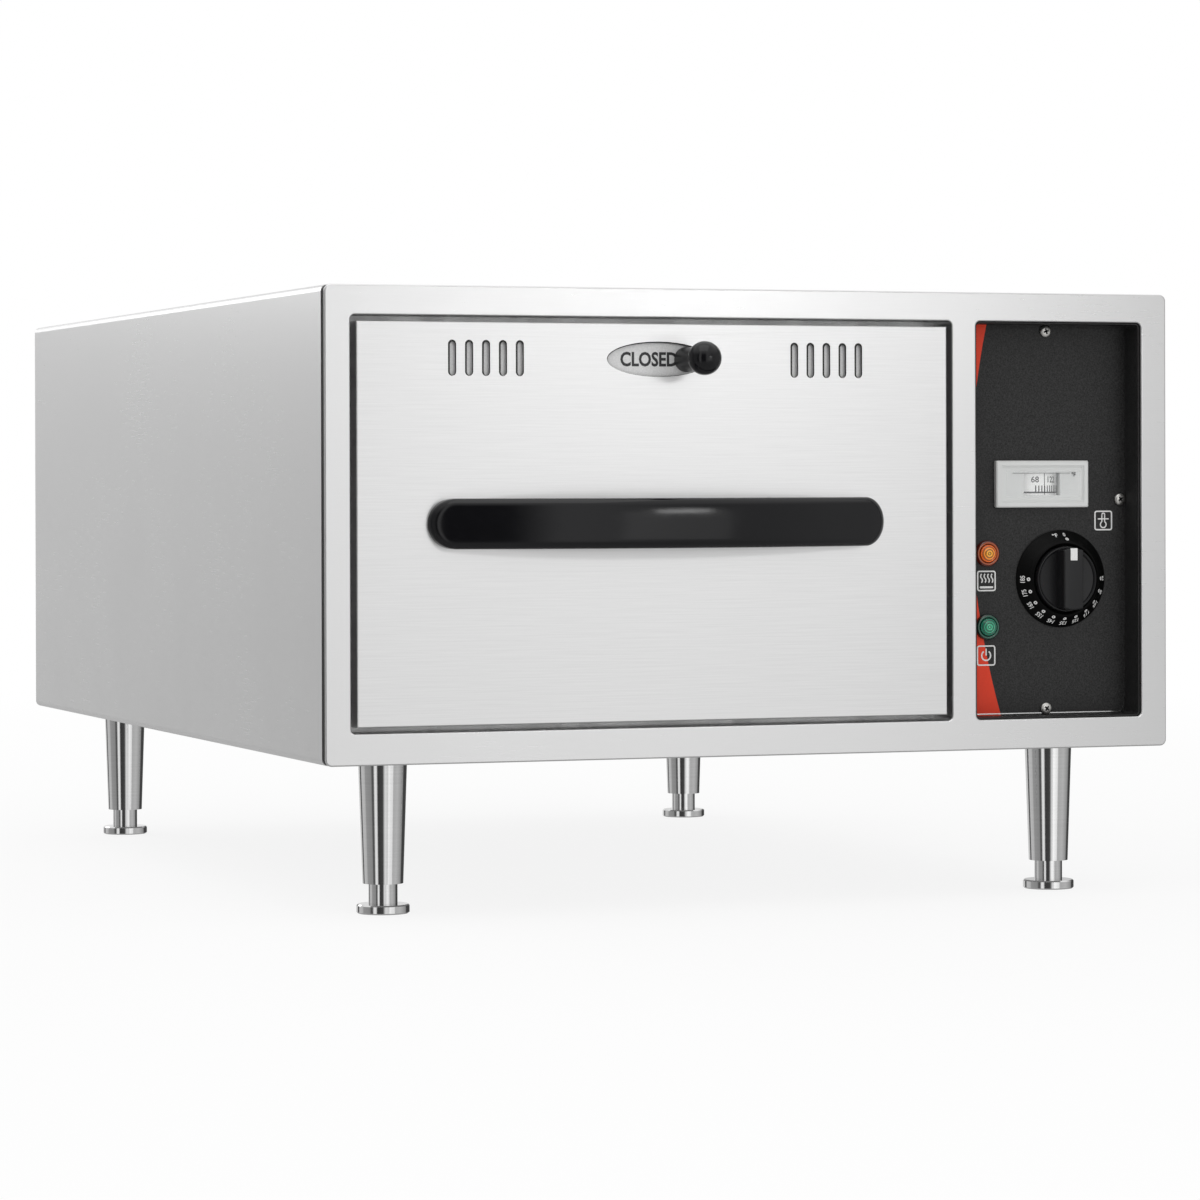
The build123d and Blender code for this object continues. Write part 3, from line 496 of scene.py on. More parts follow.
# %% [markdown]
# ### Handle
#
# The grip is a glossy moulding: a wide bow that stands off the drawer, with round ends and a soft edge
# all round its face. In CAD it is an extruded bow cut to shape, and its edge stops short at the ends.
# Here the front outline comes first, as a bar with round ends. It is sliced crosswise, given a wall, and
# rounded by a row of insets that follow its outline. Last, its points are moved to bend it into the bow.
# A sweep along the bow would make the round ends harder.

# %% Handle
def slice_across(bm, start, end, count):
    """Cut a shape at even steps along X."""
    for i in range(1, count):
        x = start + (end - start) * i / count
        everything = bm.verts[:] + bm.edges[:] + bm.faces[:]
        bmesh.ops.bisect_plane(bm, geom=everything, plane_co=(x, 0, 0), plane_no=(1, 0, 0))
    return bm


def bow_depth(x, half, rise):
    """How far an arc of that half length and rise stands out at x."""
    radius = (half**2 + rise**2) / (2 * rise)
    return rise - radius + sqrt(max(radius**2 - x**2, 0.0))


def crown_steps(rim, rim_rise, half_width, crown, count):
    """Inset steps of (inward, outward) for a face that is round at its rim and slightly crowned inside."""
    def height(s):
        edge = min(s / rim, 1.0)
        return rim_rise * sqrt(1 - (1 - edge) ** 2) + crown * (1 - (1 - s / half_width) ** 2)

    places = [rim * (1 - cos(pi / 2 * i / 7)) for i in range(8)]
    places += [rim + (0.86 * half_width - rim) * i / count for i in range(1, count + 1)]
    return [(b - a, height(b) - height(a)) for a, b in zip(places, places[1:])]


def handle_grip():
    low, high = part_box("handle")
    length, reach, height = high - low
    side, thickness, foot = 7 * mm, 12 * mm, 34 * mm
    rim_rise, crown = 3.4 * mm, 1.5 * mm
    bm = slice_across(stadium(length, height, 62), -length / 2, length / 2, 48)
    front = raised_front(bm, 1.0)
    straight, inset = (length - height) / 2, 0.0
    for inward, outward in crown_steps(4.4 * mm, rim_rise, height / 2, crown, 7):
        shrink = (height / 2 - inset - inward) / (height / 2 - inset)
        inset += inward

        def nearer(place):
            spine = max(-straight, min(straight, place.x))
            return Vector((spine + (place.x - spine) * shrink, place.y * shrink, place.z + outward))

        ledge(bm, front, nearer)
    inner_half = length / 2 - foot
    for vert in bm.verts:
        if vert.co.z > 0.5:
            vert.co.z += side - 1.0 - rim_rise - crown + bow_depth(vert.co.x, length / 2, reach - side)
        elif abs(vert.co.x) < inner_half:
            vert.co.z = bow_depth(vert.co.x, inner_half, reach - thickness)
        else:
            vert.co.z = 0
    centre = Vector(((low.x + high.x) / 2, high.y, (low.z + high.z) / 2))
    return turn_to_front(bm, centre)


grip = add_piece("handle_grip", handle_grip(), "drawer", finishes["black_gloss"])
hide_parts("handle")

# %% [markdown]
# ### Panel screws
#
# The control panel is held by four pan-head screws with a cross recess, and the rear panel gets six like
# them. A recess is the one thing that makes a dome read as a screw. The head is spun from its profile,
# and the cross is cut out of it with a Boolean modifier, whose result is taken as the mesh. Sinking the
# faces by hand would take as long and look the same.

# %% Panel screws
def cross_cutter(width, length, depth):
    bm = bmesh.new()
    for angle in (0, pi / 2):
        bar = bmesh.new()
        bmesh.ops.create_cube(bar, size=1.0)
        bmesh.ops.scale(bar, vec=(length, width, depth), verts=bar.verts)
        ends = [v for v in bar.verts if v.co.z < 0]
        bmesh.ops.scale(bar, vec=(0.45, 0.6, 1), verts=ends)
        join(bm, bar, Matrix.Rotation(angle, 4, "Z"))
    return bm


def solved_mesh(item):
    """Mesh of an object with its modifiers, or of a text."""
    return bpy.data.meshes.new_from_object(item.evaluated_get(bpy.context.evaluated_depsgraph_get()))


def cut(bm, cutter):
    """Cut one closed bmesh out of another."""
    objects = []
    for part in (bm, cutter):
        mesh = bpy.data.meshes.new("cutting")
        bmesh.ops.recalc_face_normals(part, faces=part.faces)
        part.to_mesh(mesh)
        part.free()
        objects.append(linked("cutting", mesh))
    boolean = objects[0].modifiers.new("cut", "BOOLEAN")
    boolean.operation = "DIFFERENCE"
    boolean.solver = "EXACT"
    boolean.use_self = True
    boolean.object = objects[1]
    solved = solved_mesh(objects[0])
    result = bmesh.new()
    result.from_mesh(solved)
    for item in objects:
        bpy.data.objects.remove(item)
    bpy.data.meshes.remove(solved)
    return result


head_radius, head_height = 3.7 * mm, 2.4 * mm


def cross_head():
    """Pan head that stands on Z = 0, with a cross recess."""
    shares = [(0, 0), (0.97, 0), (1.0, 0.12), (1.0, 0.42), (0.96, 0.62), (0.84, 0.82), (0.62, 0.94),
              (0.3, 1.0), (0, 1.0)]
    head = turned([(head_radius * across, head_height * up) for across, up in shares], 40)
    cutter = cross_cutter(head_radius * 0.40, head_radius * 1.36, head_height * 1.4)
    bmesh.ops.translate(cutter, vec=(0, 0, head_height * 1.02), verts=cutter.verts)
    return cut(head, cutter)


def cross_shade():
    """Thin dark cross that lies in the recess as painted shade."""
    bm = cross_cutter(head_radius * 0.34, head_radius * 1.24, 0.2 * mm)
    bmesh.ops.translate(bm, vec=(0, 0, head_height * 0.80), verts=bm.verts)
    return bm


def on_panel_screws(shape):
    """One shape for each screw of the panel."""
    low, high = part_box("panel_screws")
    middle = (low + high) / 2
    side_z = middle.z + 12.5 * mm
    places = [(middle.x, high.z - head_radius), (middle.x, low.z + head_radius),
              (low.x + head_radius, side_z), (high.x - head_radius, side_z)]
    bm = bmesh.new()
    for turn, (x, z) in zip((0.3, 0.9, 0.1, 0.6), places):
        made = shape()
        bmesh.ops.rotate(made, cent=(0, 0, 0), matrix=Matrix.Rotation(turn, 3, "Z"), verts=made.verts)
        join(bm, turn_to_front(made, (x, low.y + head_height, z)))
    return bm


screw_heads = add_piece("panel_screw_heads", on_panel_screws(cross_head), "cabinet", screw_zinc)
# The dark crosses in the screw recesses are painted shade, in plain black.
shade_black = finishes["black_rubber"]
add_piece("panel_screw_shades", on_panel_screws(cross_shade), "cabinet", shade_black)
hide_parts("panel_screws")


def on_rear_panel(shape):
    """One shape for each of six screws round the rear panel, whose louvre hoods stand out past its face."""
    low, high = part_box("rear_panel")
    inset, hood = 9.0 * mm, 5.0 * mm
    bm = bmesh.new()
    for x in (low.x + inset, (low.x + high.x) / 2, high.x - inset):
        for z in (low.z + inset, high.z - inset):
            join(bm, shape(), Matrix.Translation((x, high.y - hood, z)) @ Matrix.Rotation(-pi / 2, 4, "X"))
    return bm


add_piece("rear_screw_heads", on_rear_panel(cross_head), "cabinet", screw_zinc)
# The dark crosses of the rear screws are painted shade too.
add_piece("rear_screw_shades", on_rear_panel(cross_shade), "cabinet", shade_black)

# %% [markdown]
# ### Lamp lenses
#
# Rings are moulded into each dome. They are in the profile: a cosine ripple on a shallow arc, spun about
# the axis.

# %% Lamp lenses
def ringed_dome(node):
    low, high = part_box(node)
    radius, height = (high.x - low.x) / 2, high.y - low.y
    profile = [(0, 0), (radius, 0), (radius, 1.4 * mm), (radius * 0.95, 2.2 * mm), (radius * 0.84, 2.7 * mm),
               (radius * 0.74, 2.5 * mm), (radius * 0.68, 1.7 * mm)]
    dome_radius, dome_rise, dome_seat = radius * 0.64, 2.6 * mm, 2.0 * mm
    ring_pitch, ring_depth = 0.89 * mm, 0.14 * mm
    count = 30
    for i in range(count + 1):
        r = dome_radius * (1 - i / count)
        dome = dome_rise * sqrt(1 - 0.8 * (r / dome_radius) ** 2)
        ripple = ring_depth * (1 - cos(tau * r / ring_pitch))
        profile.append((r, min(dome_seat + dome - ripple, height)))
    middle = (low + high) / 2
    return turn_to_front(turned(profile, 48), (middle.x, high.y, middle.z))


lamps = (("amber_lens", amber_lens_finish, "amber"), ("green_lens", green_lens_finish, "green"))
for node, finish, slot in lamps:
    dome = add_piece(node + "_dome", ringed_dome(node), "cabinet", finish, angle=60)
    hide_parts(node)

# %% [markdown]
# ## Printed marks
#
# Letters and numerals are printed on the vent plate, the dial and the thermometer. Blender's own font
# makes them. A text object is turned into a mesh first and placed after, because a text object's place
# would be lost in the export. Each mark is a little less than a tenth of a millimetre thick and stands on
# its surface.

# %% Ink helpers
ink_depth = 0.08 * mm
dark_ink = moulded("dark_ink", (0.03, 0.03, 0.032), 0.5, 900.0, 0.00001)


def lettering(words, height, width=None, weight=0.012):
    """Letters as a flat bmesh, centred on the origin, with capitals of that height."""
    curve = bpy.data.curves.new("letters", "FONT")
    curve.body = words
    curve.size = 1.0
    curve.offset = weight
    curve.resolution_u = 3
    holder = linked("letters", curve)
    mesh = solved_mesh(holder)
    bm = bmesh.new()
    bm.from_mesh(mesh)
    bpy.data.objects.remove(holder)
    bpy.data.curves.remove(curve)
    bpy.data.meshes.remove(mesh)
    xs = [v.co.x for v in bm.verts]
    ys = [v.co.y for v in bm.verts]
    tall = height / (max(ys) - min(ys))
    wide = width / (max(xs) - min(xs)) if width else tall
    middle = Vector(((max(xs) + min(xs)) / 2, (max(ys) + min(ys)) / 2, 0))
    bmesh.ops.translate(bm, vec=-middle, verts=bm.verts)
    bmesh.ops.scale(bm, vec=(wide, tall, 1), verts=bm.verts)
    bmesh.ops.remove_doubles(bm, verts=bm.verts, dist=0.002 * mm)
    return thicken(bm, ink_depth)


def stroke(x1, y1, x2, y2, width):
    """Straight printed line with round ends, drawn in X and Y."""
    length = sqrt((x2 - x1) ** 2 + (y2 - y1) ** 2)
    bm = thicken(stadium(length + width, width, 14), ink_depth)
    turn = Matrix.Rotation(atan2(y2 - y1, x2 - x1), 4, "Z")
    middle = Matrix.Translation(((x1 + x2) / 2, (y1 + y2) / 2, 0))
    bmesh.ops.transform(bm, matrix=middle @ turn, verts=bm.verts)
    return bm


print("ink depth:", ink_depth)

# %% [markdown]
# ### Vent plate words
#
# The word in the window says how the vent stands. It is on the sliding plate, so it goes with the ball.
# The second word is behind the drawer front until the vent is pushed open.

# %% Vent words
plate_low, plate_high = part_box("vent_plate")
stem_x = middle_of("vent_stem").x
plate_z = (plate_low.z + plate_high.z) / 2
word_height, word_width = 8.7 * mm, 36.0 * mm
closed_x = stem_x - 23.4 * mm
open_x = stem_x + 27.0 * mm
for name, word, width, x in (("word_closed", "CLOSED", word_width, closed_x),
                             ("word_open", "OPEN", word_width * 0.68, open_x)):
    drawn = turn_to_front(lettering(word, word_height, width, 0.028), (x, plate_low.y, plate_z))
    add_piece(name, drawn, "vent_slider", dark_ink)

# %% [markdown]
# ### Painted shade in the slots
#
# Each punched slot, and the oval window, is lined with a thin black ring of painted shade, where the skin
# shades the plate behind it. The ring is wider above, and in the slots also on the left. One ring is the
# area between an outline and a smaller one: the outline is drawn, its inner ring is scaled and moved, and
# the middle is taken out.

# %% Slot and window shade rings
front_low, front_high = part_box("drawer_front")
drawer_x = (front_low.x + front_high.x) / 2
skin_front, skin_sheet, shade_ring_depth = front_low.y, 1.0 * mm, 0.8 * mm


def shade_ring(outline, across, upright, shift, depth):
    """Ring between a flat outline and the same outline scaled and moved."""
    middle = outline.faces[:]

    def inner(place):
        return Vector((place.x * across + shift[0], place.y * upright + shift[1], 0))

    ledge(outline, middle, inner)
    bmesh.ops.delete(outline, geom=middle, context="FACES_ONLY")
    return thicken(outline, depth)


def slot_shade_rings():
    length, width, pitch, offset = 21.0 * mm, 5.0 * mm, 10.4 * mm, 107.5 * mm
    bm = bmesh.new()
    for group_side in (-1, 1):
        for i in range(5):
            slot = stadium(length, width, 22)
            bmesh.ops.rotate(slot, matrix=Matrix.Rotation(pi / 2, 3, "Z"), verts=slot.verts)
            ring = shade_ring(slot, 0.72, 0.94, (0.42 * mm, -0.42 * mm), shade_ring_depth)
            x = drawer_x + group_side * offset + (i - 2) * pitch
            join(bm, turn_to_front(ring, (x, skin_front + skin_sheet, plate_z)))
    return bm


def window_shade_ring():
    half_width, half_height = 32.5 * mm, 10.4 * mm
    oval = bmesh.new()
    bmesh.ops.create_circle(oval, cap_ends=True, segments=96, radius=1.0)
    bmesh.ops.scale(oval, vec=(half_width, half_height, 1), verts=oval.verts)
    ring = shade_ring(oval, 0.985, 0.955, (-0.05 * mm, -0.25 * mm), shade_ring_depth)
    return turn_to_front(ring, (drawer_x, skin_front + skin_sheet, plate_z))


# Both rings are painted shade: black where the skin shades the plate behind it.
add_piece("slot_shade_rings", slot_shade_rings(), "drawer", shade_black)
add_piece("window_shade_ring", window_shade_ring(), "drawer", shade_black)

# %% [markdown]
# ### Vent boss
#
# A moulded boss covers the stem between the plate and the ball. It is a tube spun from a closed profile.

# %% Vent boss
def vent_boss():
    ball = middle_of("vent_ball")
    length = plate_low.y - ball.y
    inner, end = 5.1 * mm, length - 5.0 * mm
    profile = [(inner, 0.05 * mm), (7.4 * mm, 0.05 * mm), (7.4 * mm, 2.0 * mm), (6.9 * mm, length * 0.5),
               (6.6 * mm, end), (inner, end), (inner, 0.05 * mm)]
    return turn_to_front(turned(profile, 40), (ball.x, plate_low.y, ball.z))


add_piece("vent_boss", vent_boss(), "vent_slider", finishes["black_matte"])

# %% [markdown]
# ### Dial
#
# The dial plate has numerals from 85 to 185 clockwise from the right round to the left, and a zero at the
# top, beside the unit. Each numeral is turned so that its foot points at the spindle, and has a dot at its
# foot. The ring under them slopes like a cone, so every mark is laid on that slope by a matrix.

# %% Dial ring
dial_low, dial_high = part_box("dial_plate")
dial_centre = (dial_low + dial_high) / 2
dial_back = Vector((dial_centre.x, dial_high.y, dial_centre.z))
cone_outer, cone_inner = (29.5 * mm, 1.3 * mm), (24.0 * mm, 6.9 * mm)


def dial_ring():
    rim = in_mm([(5.4, 0), (30.0, 0), (30.0, 0.8)])
    inside = in_mm([(22.9, 8.0), (22.0, 8.3), (21.3, 7.9), (21.0, 7.0), (21.0, 1.0), (5.4, 1.0), (5.4, 0)])
    profile = [*rim, cone_outer, cone_inner, *inside]
    return turn_to_front(turned(profile, 96), dial_back)


ring = add_piece("dial_ring", dial_ring(), "cabinet", dial_black, angle=28)
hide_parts("dial_plate")

# %% Dial numerals
def on_cone(degrees, radius):
    """Matrix that lays a flat mark on the dial's cone, with its top towards the rim."""
    angle = radians(degrees)
    run, fall = cone_outer[0] - cone_inner[0], cone_inner[1] - cone_outer[1]
    tilt = atan2(fall, run)
    height = cone_outer[1] + fall * (cone_outer[0] - radius) / run
    outward = Vector((cos(angle), sin(angle), 0))
    facing = Vector((0, 0, 1))
    top = outward * cos(tilt) - facing * sin(tilt)
    normal = outward * sin(tilt) + facing * cos(tilt)
    side = top.cross(normal)
    place = outward * radius + facing * height
    return Matrix(((side.x, top.x, normal.x, place.x), (side.y, top.y, normal.y, place.y),
                   (side.z, top.z, normal.z, place.z), (0, 0, 0, 1)))


def printed_ring(radius, hole):
    """Small printed circle with a hole."""
    bm = bmesh.new()
    inner = bm.verts.new((hole, 0, 0))
    outer = bm.verts.new((radius, 0, 0))
    edge = bm.edges.new((inner, outer))
    bmesh.ops.spin(bm, geom=[inner, outer, edge], cent=(0, 0, 0), axis=(0, 0, 1), angle=tau, steps=14,
                   use_merge=True)
    return thicken(bm, ink_depth)


numeral_radius, dot_radius, numeral_height = 27.2 * mm, 24.5 * mm, 3.1 * mm


def dial_marks():
    bm = bmesh.new()
    marks = [(str(85 + 10 * i), -18 * i) for i in range(11)] + [("0", 88)]
    for words, degrees in marks:
        width = {1: 1.5, 2: 2.9, 3: 4.3}[len(words)] * mm
        join(bm, lettering(words, numeral_height, width, 0.02), on_cone(degrees, numeral_radius))
        dot_degrees = degrees - (2 if words == "0" else 0)
        join(bm, printed_ring(1.15 * mm, 0.4 * mm), on_cone(dot_degrees, dot_radius))
    join(bm, lettering("°F", numeral_height, 3.2 * mm, 0.02), on_cone(101, numeral_radius))
    return turn_to_front(bm, dial_back)


add_piece("dial_marks", dial_marks(), "cabinet", finishes["white_inlay"])

# %% [markdown]
# ### Knob
#
# The knob is a shallow dished disc with one straight bar across it to grip. The disc is spun. The bar is
# a round plate with both its sides cut off by planes, given height and rounded to its front by insets.

# %% Knob
def knob_cap():
    reach = dial_high.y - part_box("knob")[0].y
    disc = in_mm([(0, 1.5), (20.1, 1.5), (20.1, 9.4), (19.8, 10.1), (19.2, 10.3), (18.5, 9.9), (18.0, 9.2),
                  (9.0, 8.6), (0, 8.5)])
    bm = turned(disc, 96)
    half_width, half_length, disc_top = 6.7 * mm, 19.0 * mm, 8.5 * mm
    bar = bmesh.new()
    bmesh.ops.create_circle(bar, cap_ends=True, segments=96, radius=half_length)
    for side in (-1, 1):
        everything = bar.verts[:] + bar.edges[:] + bar.faces[:]
        bmesh.ops.bisect_plane(bar, geom=everything, plane_co=(side * half_width, 0, 0),
                               plane_no=(side, 0, 0), clear_outer=True)
    edge, steps = 1.3 * mm, 5
    front = raised_front(bar, reach - disc_top - edge)
    for i in range(steps):
        inward = edge * (cos(pi / 2 * i / steps) - cos(pi / 2 * (i + 1) / steps))
        outward = edge * (sin(pi / 2 * (i + 1) / steps) - sin(pi / 2 * i / steps))
        across, upright = 1 - inward / half_width, 1 - inward / half_length
        ledge(bar, front, lambda place: Vector((place.x * across, place.y * upright, place.z + outward)))
        half_width, half_length = half_width - inward, half_length - inward
    join(bm, bar, Matrix.Translation((0, 0, disc_top - 0.1 * mm)))
    return turn_to_front(bm, dial_back)


cap = add_piece("knob_cap", knob_cap(), "thermostat_knob", finishes["black_matte"], angle=10)
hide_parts("knob")

# %% [markdown]
# ### Thermometer scale
#
# The scale is printed on a small drum that turns behind the window, against a fixed line on the lens. Its
# marks are drawn flat and then wrapped on the drum: a mark at x goes to the angle x over the radius.

# %% Thermometer scale
drum_low, drum_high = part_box("thermometer_drum")
drum_centre = (drum_low + drum_high) / 2
drum_radius = (drum_high.x - drum_low.x) / 2
sleeve_radius = drum_radius + 1.2 * mm


def wrap(bm, radius, centre):
    """Wrap a flat shape, drawn in X and Y, on an upright drum with its front towards the viewer."""
    for vert in bm.verts:
        angle = vert.co.x / radius
        out = radius + vert.co.z
        vert.co = Vector((centre.x + out * sin(angle), centre.y - out * cos(angle), centre.z + vert.co.y))
    return bm


def scale_marks():
    bm = bmesh.new()
    seen_first, seen_second, seen_radius = -3.6, 8.2, 16.0
    first = asin(seen_first / seen_radius) * drum_radius
    step = asin(seen_second / seen_radius) * drum_radius - first
    for i, words in enumerate(("14", "68", "122", "176")):
        place = Matrix.Translation((first + (i - 1) * step, 2.8 * mm, 0))
        join(bm, lettering(words, 3.8 * mm, None, 0.012), place)
    for i in range(18):
        x = first + (i + 0.2) * step / 6
        join(bm, stroke(x, -5.2 * mm, x, -1.3 * mm, 0.8 * mm))
    band = slice_across(stadium(4.4 * step, 1.0 * mm, 14), -2.2 * step, 2.2 * step, 40)
    join(bm, thicken(band, ink_depth * 1.2), Matrix.Translation((first + 0.3 * step, -5.2 * mm, 0)))
    return wrap(bm, sleeve_radius, drum_centre)


def scale_drum():
    """Pale sleeve that carries the scale just behind the window."""
    margin = 3.9 * mm
    low, high = drum_low.z + margin, drum_high.z - margin
    outer, inner = sleeve_radius, drum_radius - 1.0 * mm
    profile = [(inner, low), (outer, low), (outer, high), (inner, high), (inner, low)]
    bm = turned(profile, 96)
    bmesh.ops.translate(bm, vec=(drum_centre.x, drum_centre.y, 0), verts=bm.verts)
    return bm


# The sleeve's faint glow is painted light.
add_piece("scale_drum", scale_drum(), "thermometer_scale", glowing_scale_card)
add_piece("scale_marks", scale_marks(), "thermometer_scale", dark_ink)

# %% [markdown]
# ### Thermometer bezel
#
# The bezel is a plate that goes inwards in steps to a flat field. Each step is an inset of the one before,
# and the window is cut right through at the end. The fixed pointer is a fine line on the front of the
# lens, and the unit stands beside the window.

# %% Thermometer bezel
lens_low, lens_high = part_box("thermometer_lens")
bezel_low, bezel_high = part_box("thermometer_bezel")
lens_middle = (lens_low + lens_high) / 2
lens_front = Vector((lens_middle.x, lens_low.y, lens_middle.z))


window_across, window_upright = 12.4 * mm, 7.0 * mm


def stepped_bezel():
    """Plate that goes inwards in steps to a flat field with a window in it."""
    width, out, height = bezel_high - bezel_low
    bm = rounded_plate(width, height, 1.0 * mm)
    front = raised_front(bm, out - 0.7 * mm)
    half_width, half_height = width / 2, height / 2
    borders = ((0.7, 0.7), (3.0, 0.0), (3.15, -0.8), (3.85, 0.0), (3.97, -0.5), (4.8, 0.0))
    steps = [(half_width - inward * mm, half_height - inward * mm, outward * mm)
             for inward, outward in borders]
    steps += [(window_across - less * mm, window_upright - less * mm, outward * mm)
              for less, outward in ((0.0, 0.0), (0.01, -1.6))]
    for next_width, next_height, outward in steps:
        across, upright = next_width / half_width, next_height / half_height
        ledge(bm, front, lambda place: Vector((place.x * across, place.y * upright, place.z + outward)))
        half_width, half_height = next_width, next_height
    return bm


def bezel_with_window():
    """The stepped bezel with its window cut right through."""
    less = 0.02 * mm
    size = (2 * (window_across - less), 2 * (window_upright - less), 8 * mm)
    window = bmesh.new()
    bmesh.ops.create_cube(window, size=1.0)
    bmesh.ops.scale(window, vec=size, verts=window.verts)
    bm = cut(stepped_bezel(), window)
    return turn_to_front(bm, (lens_middle.x - 0.7 * mm, bezel_high.y, lens_middle.z))


pale_plastic = finishes["white_plastic"]
bezel = add_piece("stepped_bezel", bezel_with_window(), "cabinet", pale_plastic, angle=20)
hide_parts("thermometer_bezel")

# %% Thermometer pointer and unit
pointer = turn_to_front(stroke(0.5 * mm, -6.4 * mm, 0.5 * mm, 6.4 * mm, 0.4 * mm), lens_front)
add_piece("thermometer_pointer", pointer, "cabinet", dark_ink)
unit = lettering("°F", 2.7 * mm, None, 0.02)
bmesh.ops.translate(unit, vec=(20.4 * mm, 5.9 * mm, 0), verts=unit.verts)
join(unit, stroke(-21.0 * mm, 6.6 * mm, 17.8 * mm, 6.6 * mm, 0.25 * mm))
add_piece("thermometer_unit", turn_to_front(unit, lens_front), "cabinet", dark_ink)

# %% [markdown]
# ### Symbols on the panel
#
# Three plain symbols stand beside the controls: a thermometer by the dial, rising heat by the amber lamp
# and a power sign by the green one. Each is white line work in a square with rounded corners. The square
# is an inset ring.

# %% Symbols
panel_low, panel_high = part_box("control_panel")
panel_face_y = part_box("dial_plate")[1].y
body_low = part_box("outer_casing")[0].z


def on_panel(x, z):
    """A place on the panel, measured from the left side and the underside of the body."""
    return Vector((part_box("outer_casing")[0].x + x * mm, panel_face_y, body_low + z * mm))


symbol_depth = 0.18 * mm


def square_outline(width, line):
    bm = rounded_plate(width, width, 1.6 * mm)
    middle = bm.faces[:]
    bmesh.ops.inset_region(bm, faces=middle, thickness=line, use_even_offset=True, use_boundary=True)
    bmesh.ops.delete(bm, geom=middle, context="FACES_ONLY")
    return thicken(bm, symbol_depth)


def arc(radius, start, end, line, centre=(0.0, 0.0)):
    """Printed arc between two angles in degrees: a short edge spun about its centre."""
    bm = bmesh.new()
    begin = radians(start)
    ends = (radius - line / 2, radius + line / 2)
    verts = [bm.verts.new((r * cos(begin), r * sin(begin), 0)) for r in ends]
    edge = bm.edges.new(verts)
    steps = max(4, int(abs(end - start) / 12))
    swept = radians(end - start)
    bmesh.ops.spin(bm, geom=verts + [edge], cent=(0, 0, 0), axis=(0, 0, 1), angle=swept, steps=steps)
    bmesh.ops.translate(bm, vec=(*centre, 0), verts=bm.verts)
    return thicken(bm, symbol_depth)


def bar(x1, y1, x2, y2, line, depth=symbol_depth):
    """Printed bar, thicker than the ink it crosses."""
    bm = stroke(x1, y1, x2, y2, line)
    bmesh.ops.scale(bm, vec=(1, 1, depth / ink_depth), verts=bm.verts)
    return bm


def thermometer_symbol():
    line = 0.75 * mm
    bm = square_outline(12.2 * mm, 0.85 * mm)
    join(bm, arc(1.95 * mm, 122, 418, line, (0, -2.5 * mm)))
    join(bm, bar(-0.95 * mm, -0.7 * mm, -0.95 * mm, 3.5 * mm, line))
    join(bm, bar(0.95 * mm, -0.7 * mm, 0.95 * mm, 3.5 * mm, line))
    join(bm, arc(0.95 * mm, 0, 180, line, (0, 3.6 * mm)))
    join(bm, bar(-3.4 * mm, 1.0 * mm, 3.4 * mm, 1.0 * mm, 0.8 * mm, symbol_depth * 1.15))
    return bm


def heat_symbol():
    line = 0.8 * mm
    bm = square_outline(12.6 * mm, 0.85 * mm)
    for i in range(4):
        x = (i - 1.5) * 2.35 * mm
        join(bm, arc(1.75 * mm, 128, 222, line, (x + 1.4 * mm, 2.9 * mm)))
        join(bm, arc(1.75 * mm, 48, -48, line, (x - 0.95 * mm, 0.3 * mm)))
    join(bm, bar(-3.9 * mm, -3.9 * mm, 3.9 * mm, -3.9 * mm, 1.3 * mm))
    return bm


def power_symbol():
    line = 0.9 * mm
    bm = square_outline(12.5 * mm, 0.85 * mm)
    join(bm, arc(3.0 * mm, 125, 415, line))
    join(bm, bar(0, 0.4 * mm, 0, 3.9 * mm, line))
    return bm


symbols = bmesh.new()
symbol_places = ((thermometer_symbol, 507.0, 138.9), (heat_symbol, 427.4, 102.3), (power_symbol, 427.1, 56.6))
for symbol, x, z in symbol_places:
    join(symbols, turn_to_front(symbol(), on_panel(x, z)))
add_piece("panel_symbols", symbols, "cabinet", finishes["white_inlay"])

# %% [markdown]
# ### Highlight along the panel's bend
#
# Along its bottom a thin strip of polished steel is laid on the black face, as a painted highlight of
# the real steel bend into the recess there. It turns up at the right end.

# %% Bend highlight strip
def bend_highlight_strip():
    low = 1.9 * mm
    left, right = panel_low.x + 1.2 * mm, panel_high.x - 2.0 * mm
    bm = bar(0, 0, right - left - 4 * mm, 0, 0.7 * mm)
    join(bm, arc(4.0 * mm, 270, 360, 0.6 * mm, (right - left - 4 * mm, 4 * mm)))
    join(bm, bar(right - left, 4.2 * mm, right - left, 9 * mm, 0.45 * mm))
    return turn_to_front(bm, (left, panel_face_y, panel_low.z + low))


# The strip is a painted highlight of the bend, not a part of the panel.
add_piece("bend_highlight_strip", bend_highlight_strip(), "cabinet", finishes["steel_polished"])

# %% [markdown]
# ### Accent stripe
#
# A vermilion flash is printed down the left of the panel. Its right edge is one long curve that swings in
# towards the middle. It starts as a tall grid of thin cells, and the points of its right side are moved
# to that curve.

# %% Accent stripe
vermilion = moulded("vermilion_ink", (0.82, 0.055, 0.020), 0.46, 900.0, 0.00001, 0.05,
                    Specular_IOR_Level=0.25)


def accent_stripe():
    low, high = 0.9 * mm, (panel_high.z - panel_low.z) - 0.9 * mm
    height = high - low
    waist_x, waist_z, bend, lean = 416.6, 152.0, 0.00108, 0.0115
    bm = bmesh.new()
    bmesh.ops.create_grid(bm, x_segments=1, y_segments=60, size=0.5)
    left = panel_low.x + 1.0 * mm
    for vert in bm.verts:
        along = vert.co.y + 0.5
        above = (panel_low.z + low + along * height - body_low) / mm - waist_z
        curve = waist_x + bend * above**2 - lean * above
        right = max(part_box("outer_casing")[0].x + curve * mm, left + 1.0 * mm)
        x = left if vert.co.x < 0 else right
        vert.co = Vector((x - left, along * height, 0))
    thicken(bm, ink_depth)
    return turn_to_front(bm, (left, panel_face_y, panel_low.z + low))


